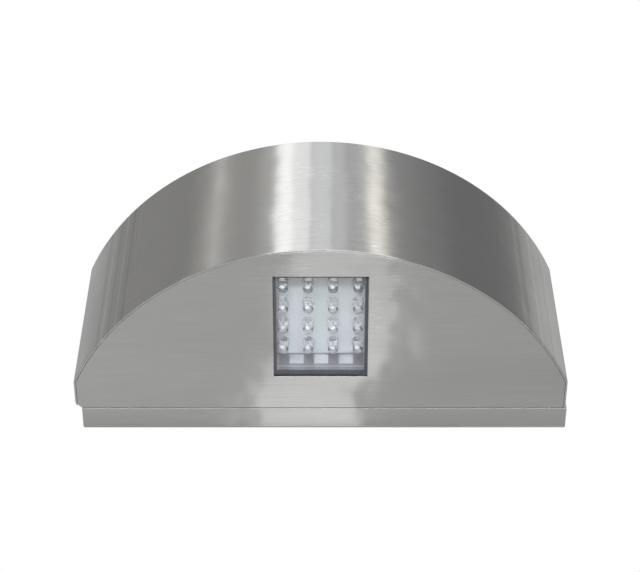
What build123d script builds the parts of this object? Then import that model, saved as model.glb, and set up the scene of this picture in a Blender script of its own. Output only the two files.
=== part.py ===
from build123d import *
import os
from math import sqrt

os.makedirs("parts", exist_ok=True)

# Half-round steel fence light with a lamp window in its underside and a solar panel in its top.
# +Z is up, +Y points into the fence, and the fence's face is Y = 0. All sizes are in millimetres.

# Cover: a half-round box of thin steel sheet, open towards the fence
cover_width = 240.0  # across the two corners where the arc ends
cover_height = 96.0  # depth of the curved band, from underside to top
arc_rise = 78.0  # from the line between those corners to the front of the arc
side_run = 16.0  # straight run of each side, from its corner to the tray
cover_offset = -1.8  # the cover sits this far to one side of the tray
sheet = 1.0  # thickness of every steel sheet
seam_gap = 0.05  # between two sheets at a welded seam
rim_height = 7.0  # folded rims of the two plates, inside the band
corner_radius = 4.0  # rounded corner of the cover beside the tray

# Tray on the fence side, and the frame in it that the cover slides over
tray_width = 237.6
tray_depth = 13.0
tray_bend = 1.5  # outside bend radius round the tray's back
butt_gap = 0.2  # between the tray's edge and the cover's edge
frame_reach = 11.0  # how far the frame stands into the cover
slide_clearance = 0.3
keyhole_spacing = 160.0
keyhole_level = 18.0  # height of the keyholes' heads above the middle
keyhole_head_radius = 4.5
keyhole_slot_width = 4.6
keyhole_rise = 9.0

# Lamp window and the lamp behind it
window_width = 45.0
window_length = 59.0
window_setback = 19.4  # from the cover's back edge to the window
gasket_thickness = 0.5
lens_thickness = 2.0
lens_overlap = 3.5  # the lens reaches this far past the window on each side
box_ledge_side = 1.4  # the lamp box's walls stand in from the window's edges
box_ledge_end = 2.2
box_wall = 2.5
box_flange = 2.0
box_flange_margin = 1.0  # the flange reaches this far past the lens
board_depth = 17.0  # from the underside's face to the lamp board's lit face
board_thickness = 1.6
boss_radius = 3.0
boss_setout = 1.0  # bosses stand this far outside the box's walls
boss_hole_depth = 8.0
screw_end_gap = 1.0  # between a board screw's end and the bottom of its hole
led_rows = 4
led_pitch = 12.0
led_offset = 2.1  # the rows sit this far towards the fence from the window's middle
led_radius = 2.5
led_length = 8.7
led_rim_radius = 2.9
led_rim_height = 1.0
led_lead_spacing = 2.54
led_lead_side = 0.5
led_lead_tail = 1.2
led_seat = 0.1  # gap between a lamp's rim and the board
lead_hole_radius = 0.5
board_corner = 1.0
resistor_length = 3.2
resistor_width = 1.6
resistor_height = 0.6
resistor_gap = 1.0  # between the first row of lamps and the resistors

# Solar panel under an opening in the top
panel_width = 108.0
panel_length = 56.0
panel_margin = 4.0  # the top's opening is smaller by this on each side
panel_setback = 24.0  # from the cover's back edge to the opening
panel_gasket = 1.0
panel_glass_thickness = 1.2
cell_count = 8
cell_gap = 1.0
cell_thickness = 0.3
cell_border = 1.5  # bare border between the cells and the edge of the opening
backing_thickness = 1.6
holder_thickness = 2.0
holder_band = 8.0  # width of the holder's frame under the panel
holder_wall = 1.5
holder_clearance = 0.3
holder_ear = 9.0
holder_ear_spacing = 28.0

# Weld studs, nuts and screws
stud_radius = 1.5
stud_hole_radius = 1.7
thread_gap = 0.05
nut_across_flats = 5.5
nut_height = 2.4
stud_end = 1.6  # thread that stands past the nut
lamp_stud_spacing_x = 60.0
lamp_stud_spacing_y = 40.0
case_screw_spacing = 80.0
case_screw_count = 3
pan_head_radius = 2.8
pan_head_height = 1.7
small_screw_radius = 1.2
small_hole_radius = 1.4
small_head_radius = 2.2
small_head_height = 1.4
cross_width = 0.8
cross_length = 2.8
cross_depth = 0.9

# Service insert in the tray's back: battery tub, door and switch
service_width = 96.0
service_height = 38.0
service_flange = 8.0
service_flange_thickness = 2.5
service_recess = 0.3  # the insert's face lies this far inside the tray's back face
insert_clearance = 0.3
door_width = 61.0
door_height = 34.0
door_thickness = 2.0
door_recess = 0.2  # door face behind the insert's face
door_clearance = 0.3
door_centre_x = -12.0
hinge_pin_radius = 0.8
hinge_pin_length = 1.6
hinge_pin_gap = 0.08
seal_thickness = 0.6
tongue_width = 8.0
tongue_thickness = 1.0
tongue_reach = 3.0
groove_width = 14.0
groove_height = 3.0
groove_depth = 0.8
battery_radius = 7.1
battery_length = 49.2
battery_nub_radius = 2.6
battery_nub_length = 1.2
battery_gap = 0.6  # between the two batteries
battery_play = 0.2
tub_wall = 2.0
tub_end_play = 3.2
contact_thickness = 0.4
contact_width = 10.0
leaf_gap = 0.1  # between a leaf contact's crown and its battery

# Switch beside the battery door
switch_inset = 14.0  # from the side of the insert's opening to the switch's middle
switch_can_width = 14.0
switch_can_height = 7.0
switch_can_depth = 6.0
switch_can_wall = 0.5
switch_pocket_wall = 1.5
switch_clearance = 0.2
switch_travel = 4.0
knob_width = 4.0
knob_height = 3.0
knob_recess = 0.5
finger_room = 2.0  # round the knob, for a fingernail
knob_base_width = 7.0
knob_base_height = 5.0
knob_base_thickness = 0.8
terminal_spacing = 4.0
terminal_width = 1.2
terminal_thickness = 0.5
terminal_length = 3.5

# Control board on the front of the battery tub
control_width = 52.0
control_height = 30.0
control_gap = 3.0  # height of its posts
control_post_inset = 3.2
chip_thickness = 1.5
chip_length = 5.0
chip_width = 4.0
small_chip_length = 3.0
small_chip_width = 2.6
chip_offset = -8.0  # across, from the control board's middle
small_chip_drop = 8.0
coil_radius = 4.0
coil_core_radius = 2.8
coil_height = 5.0
coil_flange = 0.8
capacitor_radius = 3.0
capacitor_height = 7.0
capacitor_edge = 0.6
tall_part_offset = -16.0  # across, from the control board's middle
coil_level = 5.0
capacitor_level = -6.0
wire_radius = 0.7
wire_inset = 5.0  # from the control board's upper and lower edges
wire_start = 10.0  # the first wire ends this far right of the board's middle
wire_reach = 6.0  # how far the looped wires stand out in front of the board
wire_side_step = 5.0
wire_step = 4.0
wire_spacing = 6.0
wire_bend = 4.0
bend_share = 0.45  # of the shortest run, the most that a bend may take

# Heights and depths worked out from the sizes above
half_height = cover_height / 2
underside_z = -half_height
underside_inner_z = underside_z + sheet
top_z = half_height
top_inner_z = top_z - sheet
cover_back_y = -(tray_depth + butt_gap)
chord_y = cover_back_y - side_run
front_y = chord_y - arc_rise
arc_radius = ((cover_width / 2) ** 2 + arc_rise**2) / (2 * arc_rise)
arc_centre_y = front_y + arc_radius
rim_back_y = cover_back_y - frame_reach - slide_clearance
window_centre_y = cover_back_y - window_setback - window_length / 2
gasket_top_z = underside_inner_z + gasket_thickness
lens_top_z = gasket_top_z + lens_thickness
box_flange_top_z = lens_top_z + box_flange
board_z = underside_z + board_depth
board_back_z = board_z + board_thickness
cavity_width = window_width - 2 * box_ledge_side
cavity_length = window_length - 2 * box_ledge_end
lens_width = window_width + 2 * lens_overlap
lens_length = window_length + 2 * lens_overlap
boss_spacing_x = cavity_width + 2 * (box_wall + boss_setout)
boss_spacing_y = cavity_length + 2 * (box_wall + boss_setout)
led_centre_y = window_centre_y + led_offset
panel_centre_y = cover_back_y - panel_setback - (panel_length / 2 - panel_margin)
opening_width = panel_width - 2 * panel_margin
opening_length = panel_length - 2 * panel_margin
glass_top_z = top_inner_z - panel_gasket
cell_top_z = glass_top_z - panel_glass_thickness
backing_top_z = cell_top_z - cell_thickness
holder_top_z = backing_top_z - backing_thickness
holder_bottom_z = holder_top_z - holder_thickness
holder_outer_width = panel_width + 2 * (holder_clearance + holder_wall)
holder_outer_length = panel_length + 2 * (holder_clearance + holder_wall)
panel_stud_spacing = holder_outer_width + holder_ear
frame_width = cover_width - 2 * (sheet + abs(cover_offset) + slide_clearance)
frame_height = cover_height - 2 * (sheet + slide_clearance)
frame_back = sheet + butt_gap
frame_length = tray_depth + butt_gap + frame_reach - frame_back
nut_corner_width = 2 * nut_across_flats / sqrt(3)
case_screw_y = cover_back_y - frame_reach / 2
frame_top_inner_z = frame_height / 2 - sheet
insert_face = service_recess
flange_back = sheet
flange_front = flange_back + service_flange_thickness
door_face = insert_face + door_recess
door_floor = door_face + door_thickness + door_clearance
tub_height = 4 * battery_radius + battery_gap + 2 * battery_play
tub_length = battery_length + battery_nub_length + 2 * contact_thickness + tub_end_play
tub_depth = 2 * battery_radius + 2 * battery_play
tub_floor = door_floor + seal_thickness + tub_depth
tub_front = tub_floor + tub_wall
battery_depth = tub_floor - battery_play - battery_radius
battery_level = battery_radius + battery_gap / 2
hinge_depth = door_face + door_thickness / 2
hinge_level = -(door_height - door_thickness) / 2
tongue_level = tub_height / 2 - seal_thickness - 2 * door_clearance - tongue_thickness / 2
control_back = tub_front + control_gap
control_front = control_back + board_thickness
switch_centre_x = service_width / 2 - switch_inset
service_stud_x = service_width / 2 + service_flange / 2
service_stud_z = service_height / 2 - service_flange / 4


def cover_plane(level):
    """The cover's own plan at a height: its middle is a little to one side of the tray's."""
    return Plane(origin=(cover_offset, 0, level))


def lamp_plane(level):
    """Plan at a height, centred on the lamp window."""
    return Plane(origin=(cover_offset, window_centre_y, level))


def panel_plane(level):
    """Plan at a height, centred on the solar panel."""
    return Plane(origin=(cover_offset, panel_centre_y, level))


def wall_plane(depth, across=0.0, level=0.0):
    """Upright plane facing away from the fence, this far in front of it."""
    return Plane(origin=(across, -depth, level), x_dir=(1, 0, 0), z_dir=(0, -1, 0))


def cover_plan(inset, back_y=cover_back_y, corner=0.0):
    """The half-round plan, drawn in by inset and ending at back_y."""
    half = cover_width / 2 - inset
    radius = arc_radius - inset
    corner_y = arc_centre_y - sqrt(radius**2 - half**2)
    with BuildSketch() as plan:
        with BuildLine():
            Line((half, back_y), (half, corner_y))
            ThreePointArc((half, corner_y), (0, arc_centre_y - radius), (-half, corner_y))
            Line((-half, corner_y), (-half, back_y))
            Line((-half, back_y), (half, back_y))
        make_face()
        if corner > 0:
            fillet(plan.vertices().group_by(Axis.Y)[-1].sort_by(Axis.X)[0], corner)
    return plan.sketch


def rim_plan():
    """The folded rim of a plate, just inside the band and clear of the frame."""
    with BuildSketch() as plan:
        add(cover_plan(sheet + seam_gap, rim_back_y))
        add(cover_plan(2 * sheet + seam_gap, rim_back_y + sheet), mode=Mode.SUBTRACT)
    return plan.sketch


def screw(shank_radius, shank_length, head_radius, head_height):
    """Pan-head screw pointing down, its head's underside at the origin."""
    with BuildPart() as one:
        with BuildSketch():
            Circle(head_radius)
        extrude(amount=head_height)
        fillet(one.edges().sort_by(Axis.Z)[-1], head_height / 2)
        with BuildSketch():
            Circle(shank_radius)
        extrude(amount=-shank_length)
        with BuildSketch(Plane.XY.offset(head_height)):
            Rectangle(cross_length, cross_width)
            Rectangle(cross_width, cross_length)
        extrude(amount=-cross_depth, mode=Mode.SUBTRACT)
    return one.part


def wire(points):
    """Round wire along straight runs joined by arcs; it starts along its first run."""
    runs = [(b - a).length for a, b in zip(points, points[1:])]
    start = (points[1] - points[0]).normalized()
    with BuildPart() as one:
        with BuildLine() as route:
            if len(points) > 2:
                FilletPolyline(*points, radius=min(wire_bend, bend_share * min(runs)))
            else:
                Line(*points)
        with BuildSketch(Plane(origin=points[0], z_dir=start)):
            Circle(wire_radius)
        sweep(path=route.line)
    return one.part


def save(piece, name):
    """Label a piece and write it under the same name."""
    piece.part.label = name
    export_step(piece.part, f"parts/{name}.step")


# ---- Cover ----

with BuildPart() as curved_band:
    with BuildSketch(cover_plane(underside_z)):
        add(cover_plan(0, corner=corner_radius))
        add(cover_plan(sheet, cover_back_y + sheet), mode=Mode.SUBTRACT)
    extrude(amount=cover_height)
save(curved_band, "curved_band")

with BuildPart() as window_plate:
    with BuildSketch(cover_plane(underside_z)):
        add(cover_plan(sheet + seam_gap, corner=corner_radius - sheet))
    extrude(amount=sheet)
    with BuildSketch(cover_plane(underside_inner_z)):
        add(rim_plan())
    extrude(amount=rim_height)
    with BuildSketch(lamp_plane(underside_z)):
        Rectangle(window_width, window_length)
    extrude(amount=sheet, mode=Mode.SUBTRACT)
save(window_plate, "window_plate")

with BuildPart() as top_plate:
    with BuildSketch(cover_plane(top_inner_z)):
        add(cover_plan(sheet + seam_gap, corner=corner_radius - sheet))
    extrude(amount=sheet)
    with BuildSketch(cover_plane(top_inner_z)):
        add(rim_plan())
    extrude(amount=-rim_height)
    with BuildSketch(panel_plane(top_inner_z)):
        Rectangle(opening_width, opening_length)
    extrude(amount=sheet, mode=Mode.SUBTRACT)
    with BuildSketch(Plane(origin=(0, case_screw_y, top_inner_z))):
        with GridLocations(case_screw_spacing, 1, case_screw_count, 1):
            Circle(stud_hole_radius)
    extrude(amount=sheet, mode=Mode.SUBTRACT)
save(top_plate, "top_plate")

# ---- Tray and frame ----

with BuildPart() as back_tray:
    with BuildSketch(wall_plane(0)):
        Rectangle(tray_width, cover_height)
    extrude(amount=tray_depth)
    fillet(back_tray.faces().sort_by(Axis.Y)[-1].edges(), tray_bend)
    offset(amount=-sheet, openings=back_tray.faces().sort_by(Axis.Y)[0])
    with BuildSketch(wall_plane(0)):
        Rectangle(service_width, service_height)
        with GridLocations(keyhole_spacing, 1, 2, 1):
            with Locations((0, keyhole_level)):
                Circle(keyhole_head_radius)
            with Locations((0, keyhole_level + keyhole_rise / 2)):
                Rectangle(keyhole_slot_width, keyhole_rise)
            with Locations((0, keyhole_level + keyhole_rise)):
                Circle(keyhole_slot_width / 2)
    extrude(amount=sheet, mode=Mode.SUBTRACT)
save(back_tray, "back_tray")

with BuildPart() as locating_frame:
    with BuildSketch(wall_plane(frame_back)):
        Rectangle(frame_width, frame_height)
        Rectangle(frame_width - 2 * sheet, frame_height - 2 * sheet, mode=Mode.SUBTRACT)
    extrude(amount=frame_length)
    with BuildSketch(Plane(origin=(0, case_screw_y, frame_top_inner_z))):
        with GridLocations(case_screw_spacing, 1, case_screw_count, 1):
            Circle(stud_hole_radius)
    extrude(amount=sheet, mode=Mode.SUBTRACT)
save(locating_frame, "locating_frame")

case_screw_length = top_z - frame_top_inner_z + nut_height + stud_end

with BuildPart() as cover_screws:
    with Locations((0, case_screw_y, top_z)):
        with GridLocations(case_screw_spacing, 1, case_screw_count, 1):
            add(screw(stud_radius, case_screw_length, pan_head_radius, pan_head_height))
save(cover_screws, "cover_screws")

with BuildPart() as cover_nuts:
    with BuildSketch(Plane(origin=(0, case_screw_y, frame_top_inner_z))):
        with GridLocations(case_screw_spacing, 1, case_screw_count, 1):
            RegularPolygon(nut_across_flats / 2, 6, major_radius=False)
            Circle(stud_radius + thread_gap, mode=Mode.SUBTRACT)
    extrude(amount=-nut_height)
save(cover_nuts, "cover_nuts")

# ---- Lamp behind the window ----

with BuildPart() as window_gasket:
    with BuildSketch(lamp_plane(underside_inner_z)):
        Rectangle(lens_width, lens_length)
        Rectangle(window_width, window_length, mode=Mode.SUBTRACT)
    extrude(amount=gasket_thickness)
save(window_gasket, "window_gasket")

with BuildPart() as window_lens:
    with BuildSketch(lamp_plane(gasket_top_z)):
        Rectangle(lens_width, lens_length)
    extrude(amount=lens_thickness)
save(window_lens, "window_lens")

with BuildPart() as lamp_box:
    with BuildSketch(lamp_plane(lens_top_z)):
        Rectangle(
            lamp_stud_spacing_x + nut_corner_width + 2 * box_flange_margin,
            lens_length + 2 * box_flange_margin,
        )
        with GridLocations(lamp_stud_spacing_x, lamp_stud_spacing_y, 2, 2):
            Circle(stud_hole_radius, mode=Mode.SUBTRACT)
    extrude(amount=box_flange)
    with BuildSketch(lamp_plane(lens_top_z)):
        Rectangle(cavity_width + 2 * box_wall, cavity_length + 2 * box_wall)
        with GridLocations(boss_spacing_x, boss_spacing_y, 2, 2):
            Circle(boss_radius)
    extrude(amount=board_z - lens_top_z)
    with BuildSketch(lamp_plane(lens_top_z)):
        Rectangle(cavity_width, cavity_length)
    extrude(amount=board_z - lens_top_z, mode=Mode.SUBTRACT)
    with BuildSketch(lamp_plane(board_z)):
        with GridLocations(boss_spacing_x, boss_spacing_y, 2, 2):
            Circle(small_screw_radius + thread_gap)
    extrude(amount=-boss_hole_depth, mode=Mode.SUBTRACT)
save(lamp_box, "lamp_box")

led_plane_y = led_centre_y - window_centre_y

with BuildPart() as led_board:
    with BuildSketch(lamp_plane(board_z)):
        Rectangle(boss_spacing_x + 2 * boss_radius, boss_spacing_y + 2 * boss_radius)
        with GridLocations(boss_spacing_x, boss_spacing_y, 2, 2):
            Circle(small_hole_radius, mode=Mode.SUBTRACT)
    extrude(amount=board_thickness)
    board_middle = (cover_offset, window_centre_y, board_z)
    board_corners = led_board.edges().filter_by(Axis.Z).sort_by_distance(board_middle)[-4:]
    fillet(board_corners, board_corner)
    with BuildSketch(lamp_plane(board_z)):
        with Locations((0, led_plane_y)):
            with GridLocations(led_pitch, led_pitch, led_rows, led_rows):
                with GridLocations(led_lead_spacing, 1, 2, 1):
                    Circle(lead_hole_radius)
    extrude(amount=board_thickness, mode=Mode.SUBTRACT)
save(led_board, "led_board")

# One lamp: a rim, a round body and a domed end that points down
with BuildPart() as one_led:
    with BuildSketch(Plane.XZ):
        with BuildLine():
            body_end = -(led_length - led_radius)
            Line((0, 0), (led_rim_radius, 0))
            Line((led_rim_radius, 0), (led_rim_radius, -led_rim_height))
            Line((led_rim_radius, -led_rim_height), (led_radius, -led_rim_height))
            Line((led_radius, -led_rim_height), (led_radius, body_end))
            RadiusArc((led_radius, body_end), (0, -led_length), led_radius)
            Line((0, -led_length), (0, 0))
        make_face()
    revolve(axis=Axis.Z)

with BuildPart() as leds:
    with Locations((cover_offset, led_centre_y, board_z - led_seat)):
        with GridLocations(led_pitch, led_pitch, led_rows, led_rows):
            add(one_led.part)
save(leds, "leds")

with BuildPart() as led_leads:
    with BuildSketch(Plane(origin=(cover_offset, led_centre_y, board_z - led_seat))):
        with GridLocations(led_pitch, led_pitch, led_rows, led_rows):
            with GridLocations(led_lead_spacing, 1, 2, 1):
                Rectangle(led_lead_side, led_lead_side)
    extrude(amount=led_seat + board_thickness + led_lead_tail)
save(led_leads, "led_leads")

with BuildPart() as board_screws:
    with Locations((cover_offset, window_centre_y, board_back_z)):
        with GridLocations(boss_spacing_x, boss_spacing_y, 2, 2):
            add(
                screw(
                    small_screw_radius,
                    board_thickness + boss_hole_depth - screw_end_gap,
                    small_head_radius,
                    small_head_height,
                )
            )
save(board_screws, "board_screws")

# Chip resistors on the lamp board's hidden side, one for each column of lamps
with BuildPart() as led_resistors:
    with BuildSketch(lamp_plane(board_back_z)):
        with Locations((0, led_plane_y - led_pitch * led_rows / 2 - resistor_gap)):
            with GridLocations(led_pitch, 1, led_rows, 1):
                Rectangle(resistor_length, resistor_width)
    extrude(amount=resistor_height)
save(led_resistors, "led_resistors")

# ---- Solar panel in the top ----

with BuildPart() as panel_seal:
    with BuildSketch(panel_plane(top_inner_z)):
        Rectangle(panel_width, panel_length)
        Rectangle(opening_width, opening_length, mode=Mode.SUBTRACT)
    extrude(amount=-panel_gasket)
save(panel_seal, "panel_seal")

with BuildPart() as panel_glass:
    with BuildSketch(panel_plane(glass_top_z)):
        Rectangle(panel_width, panel_length)
    extrude(amount=-panel_glass_thickness)
save(panel_glass, "panel_glass")

cell_pitch = (opening_width - 2 * cell_border + cell_gap) / cell_count

with BuildPart() as solar_cells:
    with BuildSketch(panel_plane(cell_top_z)):
        with GridLocations(cell_pitch, 1, cell_count, 1):
            Rectangle(cell_pitch - cell_gap, opening_length - 2 * cell_border)
    extrude(amount=-cell_thickness)
save(solar_cells, "solar_cells")

with BuildPart() as panel_backing:
    with BuildSketch(panel_plane(backing_top_z)):
        Rectangle(panel_width, panel_length)
    extrude(amount=-backing_thickness)
save(panel_backing, "panel_backing")

with BuildPart() as panel_holder:
    with BuildSketch(panel_plane(holder_bottom_z)):
        Rectangle(holder_outer_width, holder_outer_length)
        with GridLocations(1, holder_ear_spacing, 1, 2):
            Rectangle(holder_outer_width + 2 * holder_ear, holder_ear)
        Rectangle(panel_width - 2 * holder_band, panel_length - 2 * holder_band, mode=Mode.SUBTRACT)
        with GridLocations(panel_stud_spacing, holder_ear_spacing, 2, 2):
            Circle(stud_hole_radius, mode=Mode.SUBTRACT)
    extrude(amount=holder_thickness)
    with BuildSketch(panel_plane(holder_top_z)):
        Rectangle(holder_outer_width, holder_outer_length)
        Rectangle(
            panel_width + 2 * holder_clearance,
            panel_length + 2 * holder_clearance,
            mode=Mode.SUBTRACT,
        )
    extrude(amount=glass_top_z - holder_top_z)
save(panel_holder, "panel_holder")

# ---- Weld studs and their nuts: lamp box, panel holder and service insert ----

with BuildPart() as weld_studs:
    with BuildSketch(lamp_plane(underside_inner_z)):
        with GridLocations(lamp_stud_spacing_x, lamp_stud_spacing_y, 2, 2):
            Circle(stud_radius)
    extrude(amount=box_flange_top_z - underside_inner_z + nut_height + stud_end)
    with BuildSketch(panel_plane(top_inner_z)):
        with GridLocations(panel_stud_spacing, holder_ear_spacing, 2, 2):
            Circle(stud_radius)
    extrude(amount=-(top_inner_z - holder_bottom_z + nut_height + stud_end))
    with BuildSketch(wall_plane(sheet)):
        with GridLocations(2 * service_stud_x, 2 * service_stud_z, 2, 2):
            Circle(stud_radius)
    extrude(amount=service_flange_thickness + nut_height + stud_end)
save(weld_studs, "weld_studs")

with BuildPart() as stud_nuts:
    with BuildSketch(lamp_plane(box_flange_top_z)):
        with GridLocations(lamp_stud_spacing_x, lamp_stud_spacing_y, 2, 2):
            RegularPolygon(nut_across_flats / 2, 6, major_radius=False)
            Circle(stud_radius + thread_gap, mode=Mode.SUBTRACT)
    extrude(amount=nut_height)
    with BuildSketch(panel_plane(holder_bottom_z)):
        with GridLocations(panel_stud_spacing, holder_ear_spacing, 2, 2):
            RegularPolygon(nut_across_flats / 2, 6, major_radius=False)
            Circle(stud_radius + thread_gap, mode=Mode.SUBTRACT)
    extrude(amount=-nut_height)
    with BuildSketch(wall_plane(flange_front)):
        with GridLocations(2 * service_stud_x, 2 * service_stud_z, 2, 2):
            RegularPolygon(nut_across_flats / 2, 6, major_radius=False)
            Circle(stud_radius + thread_gap, mode=Mode.SUBTRACT)
    extrude(amount=nut_height)
save(stud_nuts, "stud_nuts")

# ---- Service insert in the tray's back ----

door_hole_width = door_width + 2 * door_clearance
door_hole_height = door_height + 2 * door_clearance
control_post_x = control_width / 2 - control_post_inset
control_post_z = control_height / 2 - control_post_inset

with BuildPart() as service_insert:
    with BuildSketch(wall_plane(flange_back)):
        Rectangle(service_width + 2 * service_flange, service_height + 2 * service_flange)
        with GridLocations(2 * service_stud_x, 2 * service_stud_z, 2, 2):
            Circle(stud_hole_radius, mode=Mode.SUBTRACT)
    extrude(amount=service_flange_thickness)
    with BuildSketch(wall_plane(insert_face)):
        Rectangle(service_width - 2 * insert_clearance, service_height - 2 * insert_clearance)
    extrude(amount=flange_back - insert_face)
    with BuildSketch(wall_plane(flange_back, door_centre_x)):
        Rectangle(tub_length + 2 * tub_wall, tub_height + 2 * tub_wall)
    extrude(amount=tub_front - flange_back)
    with BuildSketch(wall_plane(tub_front, door_centre_x)):
        with GridLocations(2 * control_post_x, 2 * control_post_z, 2, 2):
            Circle(boss_radius)
    extrude(amount=control_gap)
    # hollow of the tub, and the door's seat
    with BuildSketch(wall_plane(0, door_centre_x)):
        Rectangle(tub_length, tub_height)
    extrude(amount=tub_floor, mode=Mode.SUBTRACT)
    with BuildSketch(wall_plane(0, door_centre_x)):
        Rectangle(door_hole_width, door_hole_height)
    extrude(amount=door_floor, mode=Mode.SUBTRACT)
    # sockets for the door's hinge pins
    with BuildSketch(Plane.YZ.offset(door_centre_x - door_width / 2 - hinge_pin_length - door_clearance)):
        with Locations((-hinge_depth, hinge_level)):
            Circle(hinge_pin_radius + hinge_pin_gap)
    extrude(amount=door_width + 2 * (hinge_pin_length + door_clearance), mode=Mode.SUBTRACT)
    # pocket round the switch
    with BuildSketch(wall_plane(flange_back, switch_centre_x)):
        Rectangle(
            switch_can_width + 2 * (switch_clearance + switch_pocket_wall),
            switch_can_height + 2 * (switch_clearance + switch_pocket_wall),
        )
    extrude(amount=flange_front - flange_back + switch_can_depth)
    with BuildSketch(wall_plane(flange_front, switch_centre_x)):
        Rectangle(switch_can_width + 2 * switch_clearance, switch_can_height + 2 * switch_clearance)
    extrude(amount=switch_can_depth, mode=Mode.SUBTRACT)
    with BuildSketch(wall_plane(0, switch_centre_x)):
        SlotOverall(
            knob_width + switch_travel + 2 * finger_room,
            knob_height + finger_room,
        )
    extrude(amount=flange_front, mode=Mode.SUBTRACT)
    # holes for the control board's screws
    with BuildSketch(wall_plane(control_back, door_centre_x)):
        with GridLocations(2 * control_post_x, 2 * control_post_z, 2, 2):
            Circle(small_screw_radius + thread_gap)
    extrude(amount=-(control_gap + tub_wall / 2), mode=Mode.SUBTRACT)
save(service_insert, "service_insert")

with BuildPart() as battery_door:
    with BuildSketch(Plane.YZ.offset(door_centre_x - door_width / 2)):
        with BuildLine():
            outer = -door_face
            inner = -(door_face + door_thickness)
            Line((outer, hinge_level), (outer, door_height / 2))
            Line((outer, door_height / 2), (inner, door_height / 2))
            Line((inner, door_height / 2), (inner, hinge_level))
            ThreePointArc((inner, hinge_level), (-hinge_depth, -door_height / 2), (outer, hinge_level))
        make_face()
    extrude(amount=door_width)
    with BuildSketch(Plane.YZ.offset(door_centre_x - door_width / 2 - hinge_pin_length)):
        with Locations((-hinge_depth, hinge_level)):
            Circle(hinge_pin_radius)
    extrude(amount=door_width + 2 * hinge_pin_length)
    with BuildSketch(wall_plane(door_face + door_thickness, door_centre_x)):
        with Locations((0, tongue_level)):
            Rectangle(tongue_width, tongue_thickness)
    extrude(amount=tongue_reach)
    with BuildSketch(wall_plane(door_face, door_centre_x)):
        with Locations((0, door_height / 2 - groove_height)):
            SlotOverall(groove_width, groove_height)
    extrude(amount=groove_depth, mode=Mode.SUBTRACT)
save(battery_door, "battery_door")

with BuildPart() as door_seal:
    with BuildSketch(wall_plane(door_floor, door_centre_x)):
        Rectangle(tub_length, tub_height)
        Rectangle(tub_length - 2 * tub_wall, tub_height - 2 * seal_thickness, mode=Mode.SUBTRACT)
    extrude(amount=seal_thickness)
save(door_seal, "door_seal")

battery_start_x = door_centre_x - tub_length / 2 + contact_thickness
battery_end_x = door_centre_x + tub_length / 2 - contact_thickness

# Two batteries lie head to tail; each one's nub meets its flat contact
with BuildPart() as batteries:
    for level, nub_x, towards in (
        (battery_level, battery_end_x, -1),
        (-battery_level, battery_start_x, 1),
    ):
        nub_base = nub_x + towards * battery_nub_length
        with BuildSketch(Plane(origin=(nub_x, -battery_depth, level), z_dir=(towards, 0, 0))):
            Circle(battery_nub_radius)
        extrude(amount=battery_nub_length)
        with BuildSketch(Plane(origin=(nub_base, -battery_depth, level), z_dir=(towards, 0, 0))):
            Circle(battery_radius)
        extrude(amount=battery_length)
save(batteries, "batteries")

# Flat contacts at the nubs, bowed leaf contacts at the other ends
leaf_room = tub_end_play - leaf_gap
with BuildPart() as battery_contacts:
    for level, nub_x, towards in (
        (battery_level, battery_end_x, 1),
        (-battery_level, battery_start_x, -1),
    ):
        with BuildSketch(Plane(origin=(nub_x, -battery_depth, level), z_dir=(towards, 0, 0))):
            Rectangle(contact_width, contact_width)
        extrude(amount=contact_thickness)
    for level, wall_x, towards in (
        (battery_level, battery_start_x, 1),
        (-battery_level, battery_end_x, -1),
    ):
        with BuildSketch(Plane(origin=(wall_x, -battery_depth, level), z_dir=(-towards, 0, 0))):
            Rectangle(contact_width, contact_width)
        extrude(amount=contact_thickness)
        with BuildSketch(Plane(origin=(wall_x, -battery_depth, level - contact_width / 4))):
            with BuildLine():
                half = contact_width / 2
                tip = towards * leaf_room
                step = towards * contact_thickness
                Line((0, -half), (tip, 0))
                Line((tip, 0), (tip - step, 0))
                Line((tip - step, 0), (0, -half + contact_thickness))
                Line((0, -half + contact_thickness), (0, -half))
            make_face()
        extrude(amount=contact_width / 2)
save(battery_contacts, "battery_contacts")

# ---- Switch ----

with BuildPart() as switch_can:
    with BuildSketch(wall_plane(flange_front, switch_centre_x)):
        Rectangle(switch_can_width, switch_can_height)
    extrude(amount=switch_can_depth)
    with BuildSketch(wall_plane(flange_front + switch_can_wall, switch_centre_x)):
        Rectangle(switch_can_width - 2 * switch_can_wall, switch_can_height - 2 * switch_can_wall)
    extrude(amount=switch_can_depth - 2 * switch_can_wall, mode=Mode.SUBTRACT)
    with BuildSketch(wall_plane(flange_front, switch_centre_x)):
        Rectangle(
            knob_width + switch_travel + 2 * slide_clearance,
            knob_height + 2 * slide_clearance,
        )
    extrude(amount=switch_can_wall, mode=Mode.SUBTRACT)
save(switch_can, "switch_can")

knob_x = switch_centre_x - switch_travel / 2
knob_base_depth = flange_front + switch_can_wall + slide_clearance

with BuildPart() as switch_slider:
    with BuildSketch(wall_plane(insert_face + knob_recess, knob_x)):
        Rectangle(knob_width, knob_height)
    extrude(amount=knob_base_depth - insert_face - knob_recess)
    with BuildSketch(wall_plane(knob_base_depth, knob_x)):
        Rectangle(knob_base_width, knob_base_height)
    extrude(amount=knob_base_thickness)
save(switch_slider, "switch_slider")

with BuildPart() as switch_terminals:
    with BuildSketch(wall_plane(flange_front + switch_can_depth, switch_centre_x)):
        with GridLocations(terminal_spacing, 1, 3, 1):
            Rectangle(terminal_width, terminal_thickness)
    extrude(amount=terminal_length)
save(switch_terminals, "switch_terminals")

# ---- Control board on the battery tub ----

with BuildPart() as control_board:
    with BuildSketch(wall_plane(control_back, door_centre_x)):
        Rectangle(control_width, control_height)
        with GridLocations(2 * control_post_x, 2 * control_post_z, 2, 2):
            Circle(small_hole_radius, mode=Mode.SUBTRACT)
    extrude(amount=board_thickness)
save(control_board, "control_board")

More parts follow.
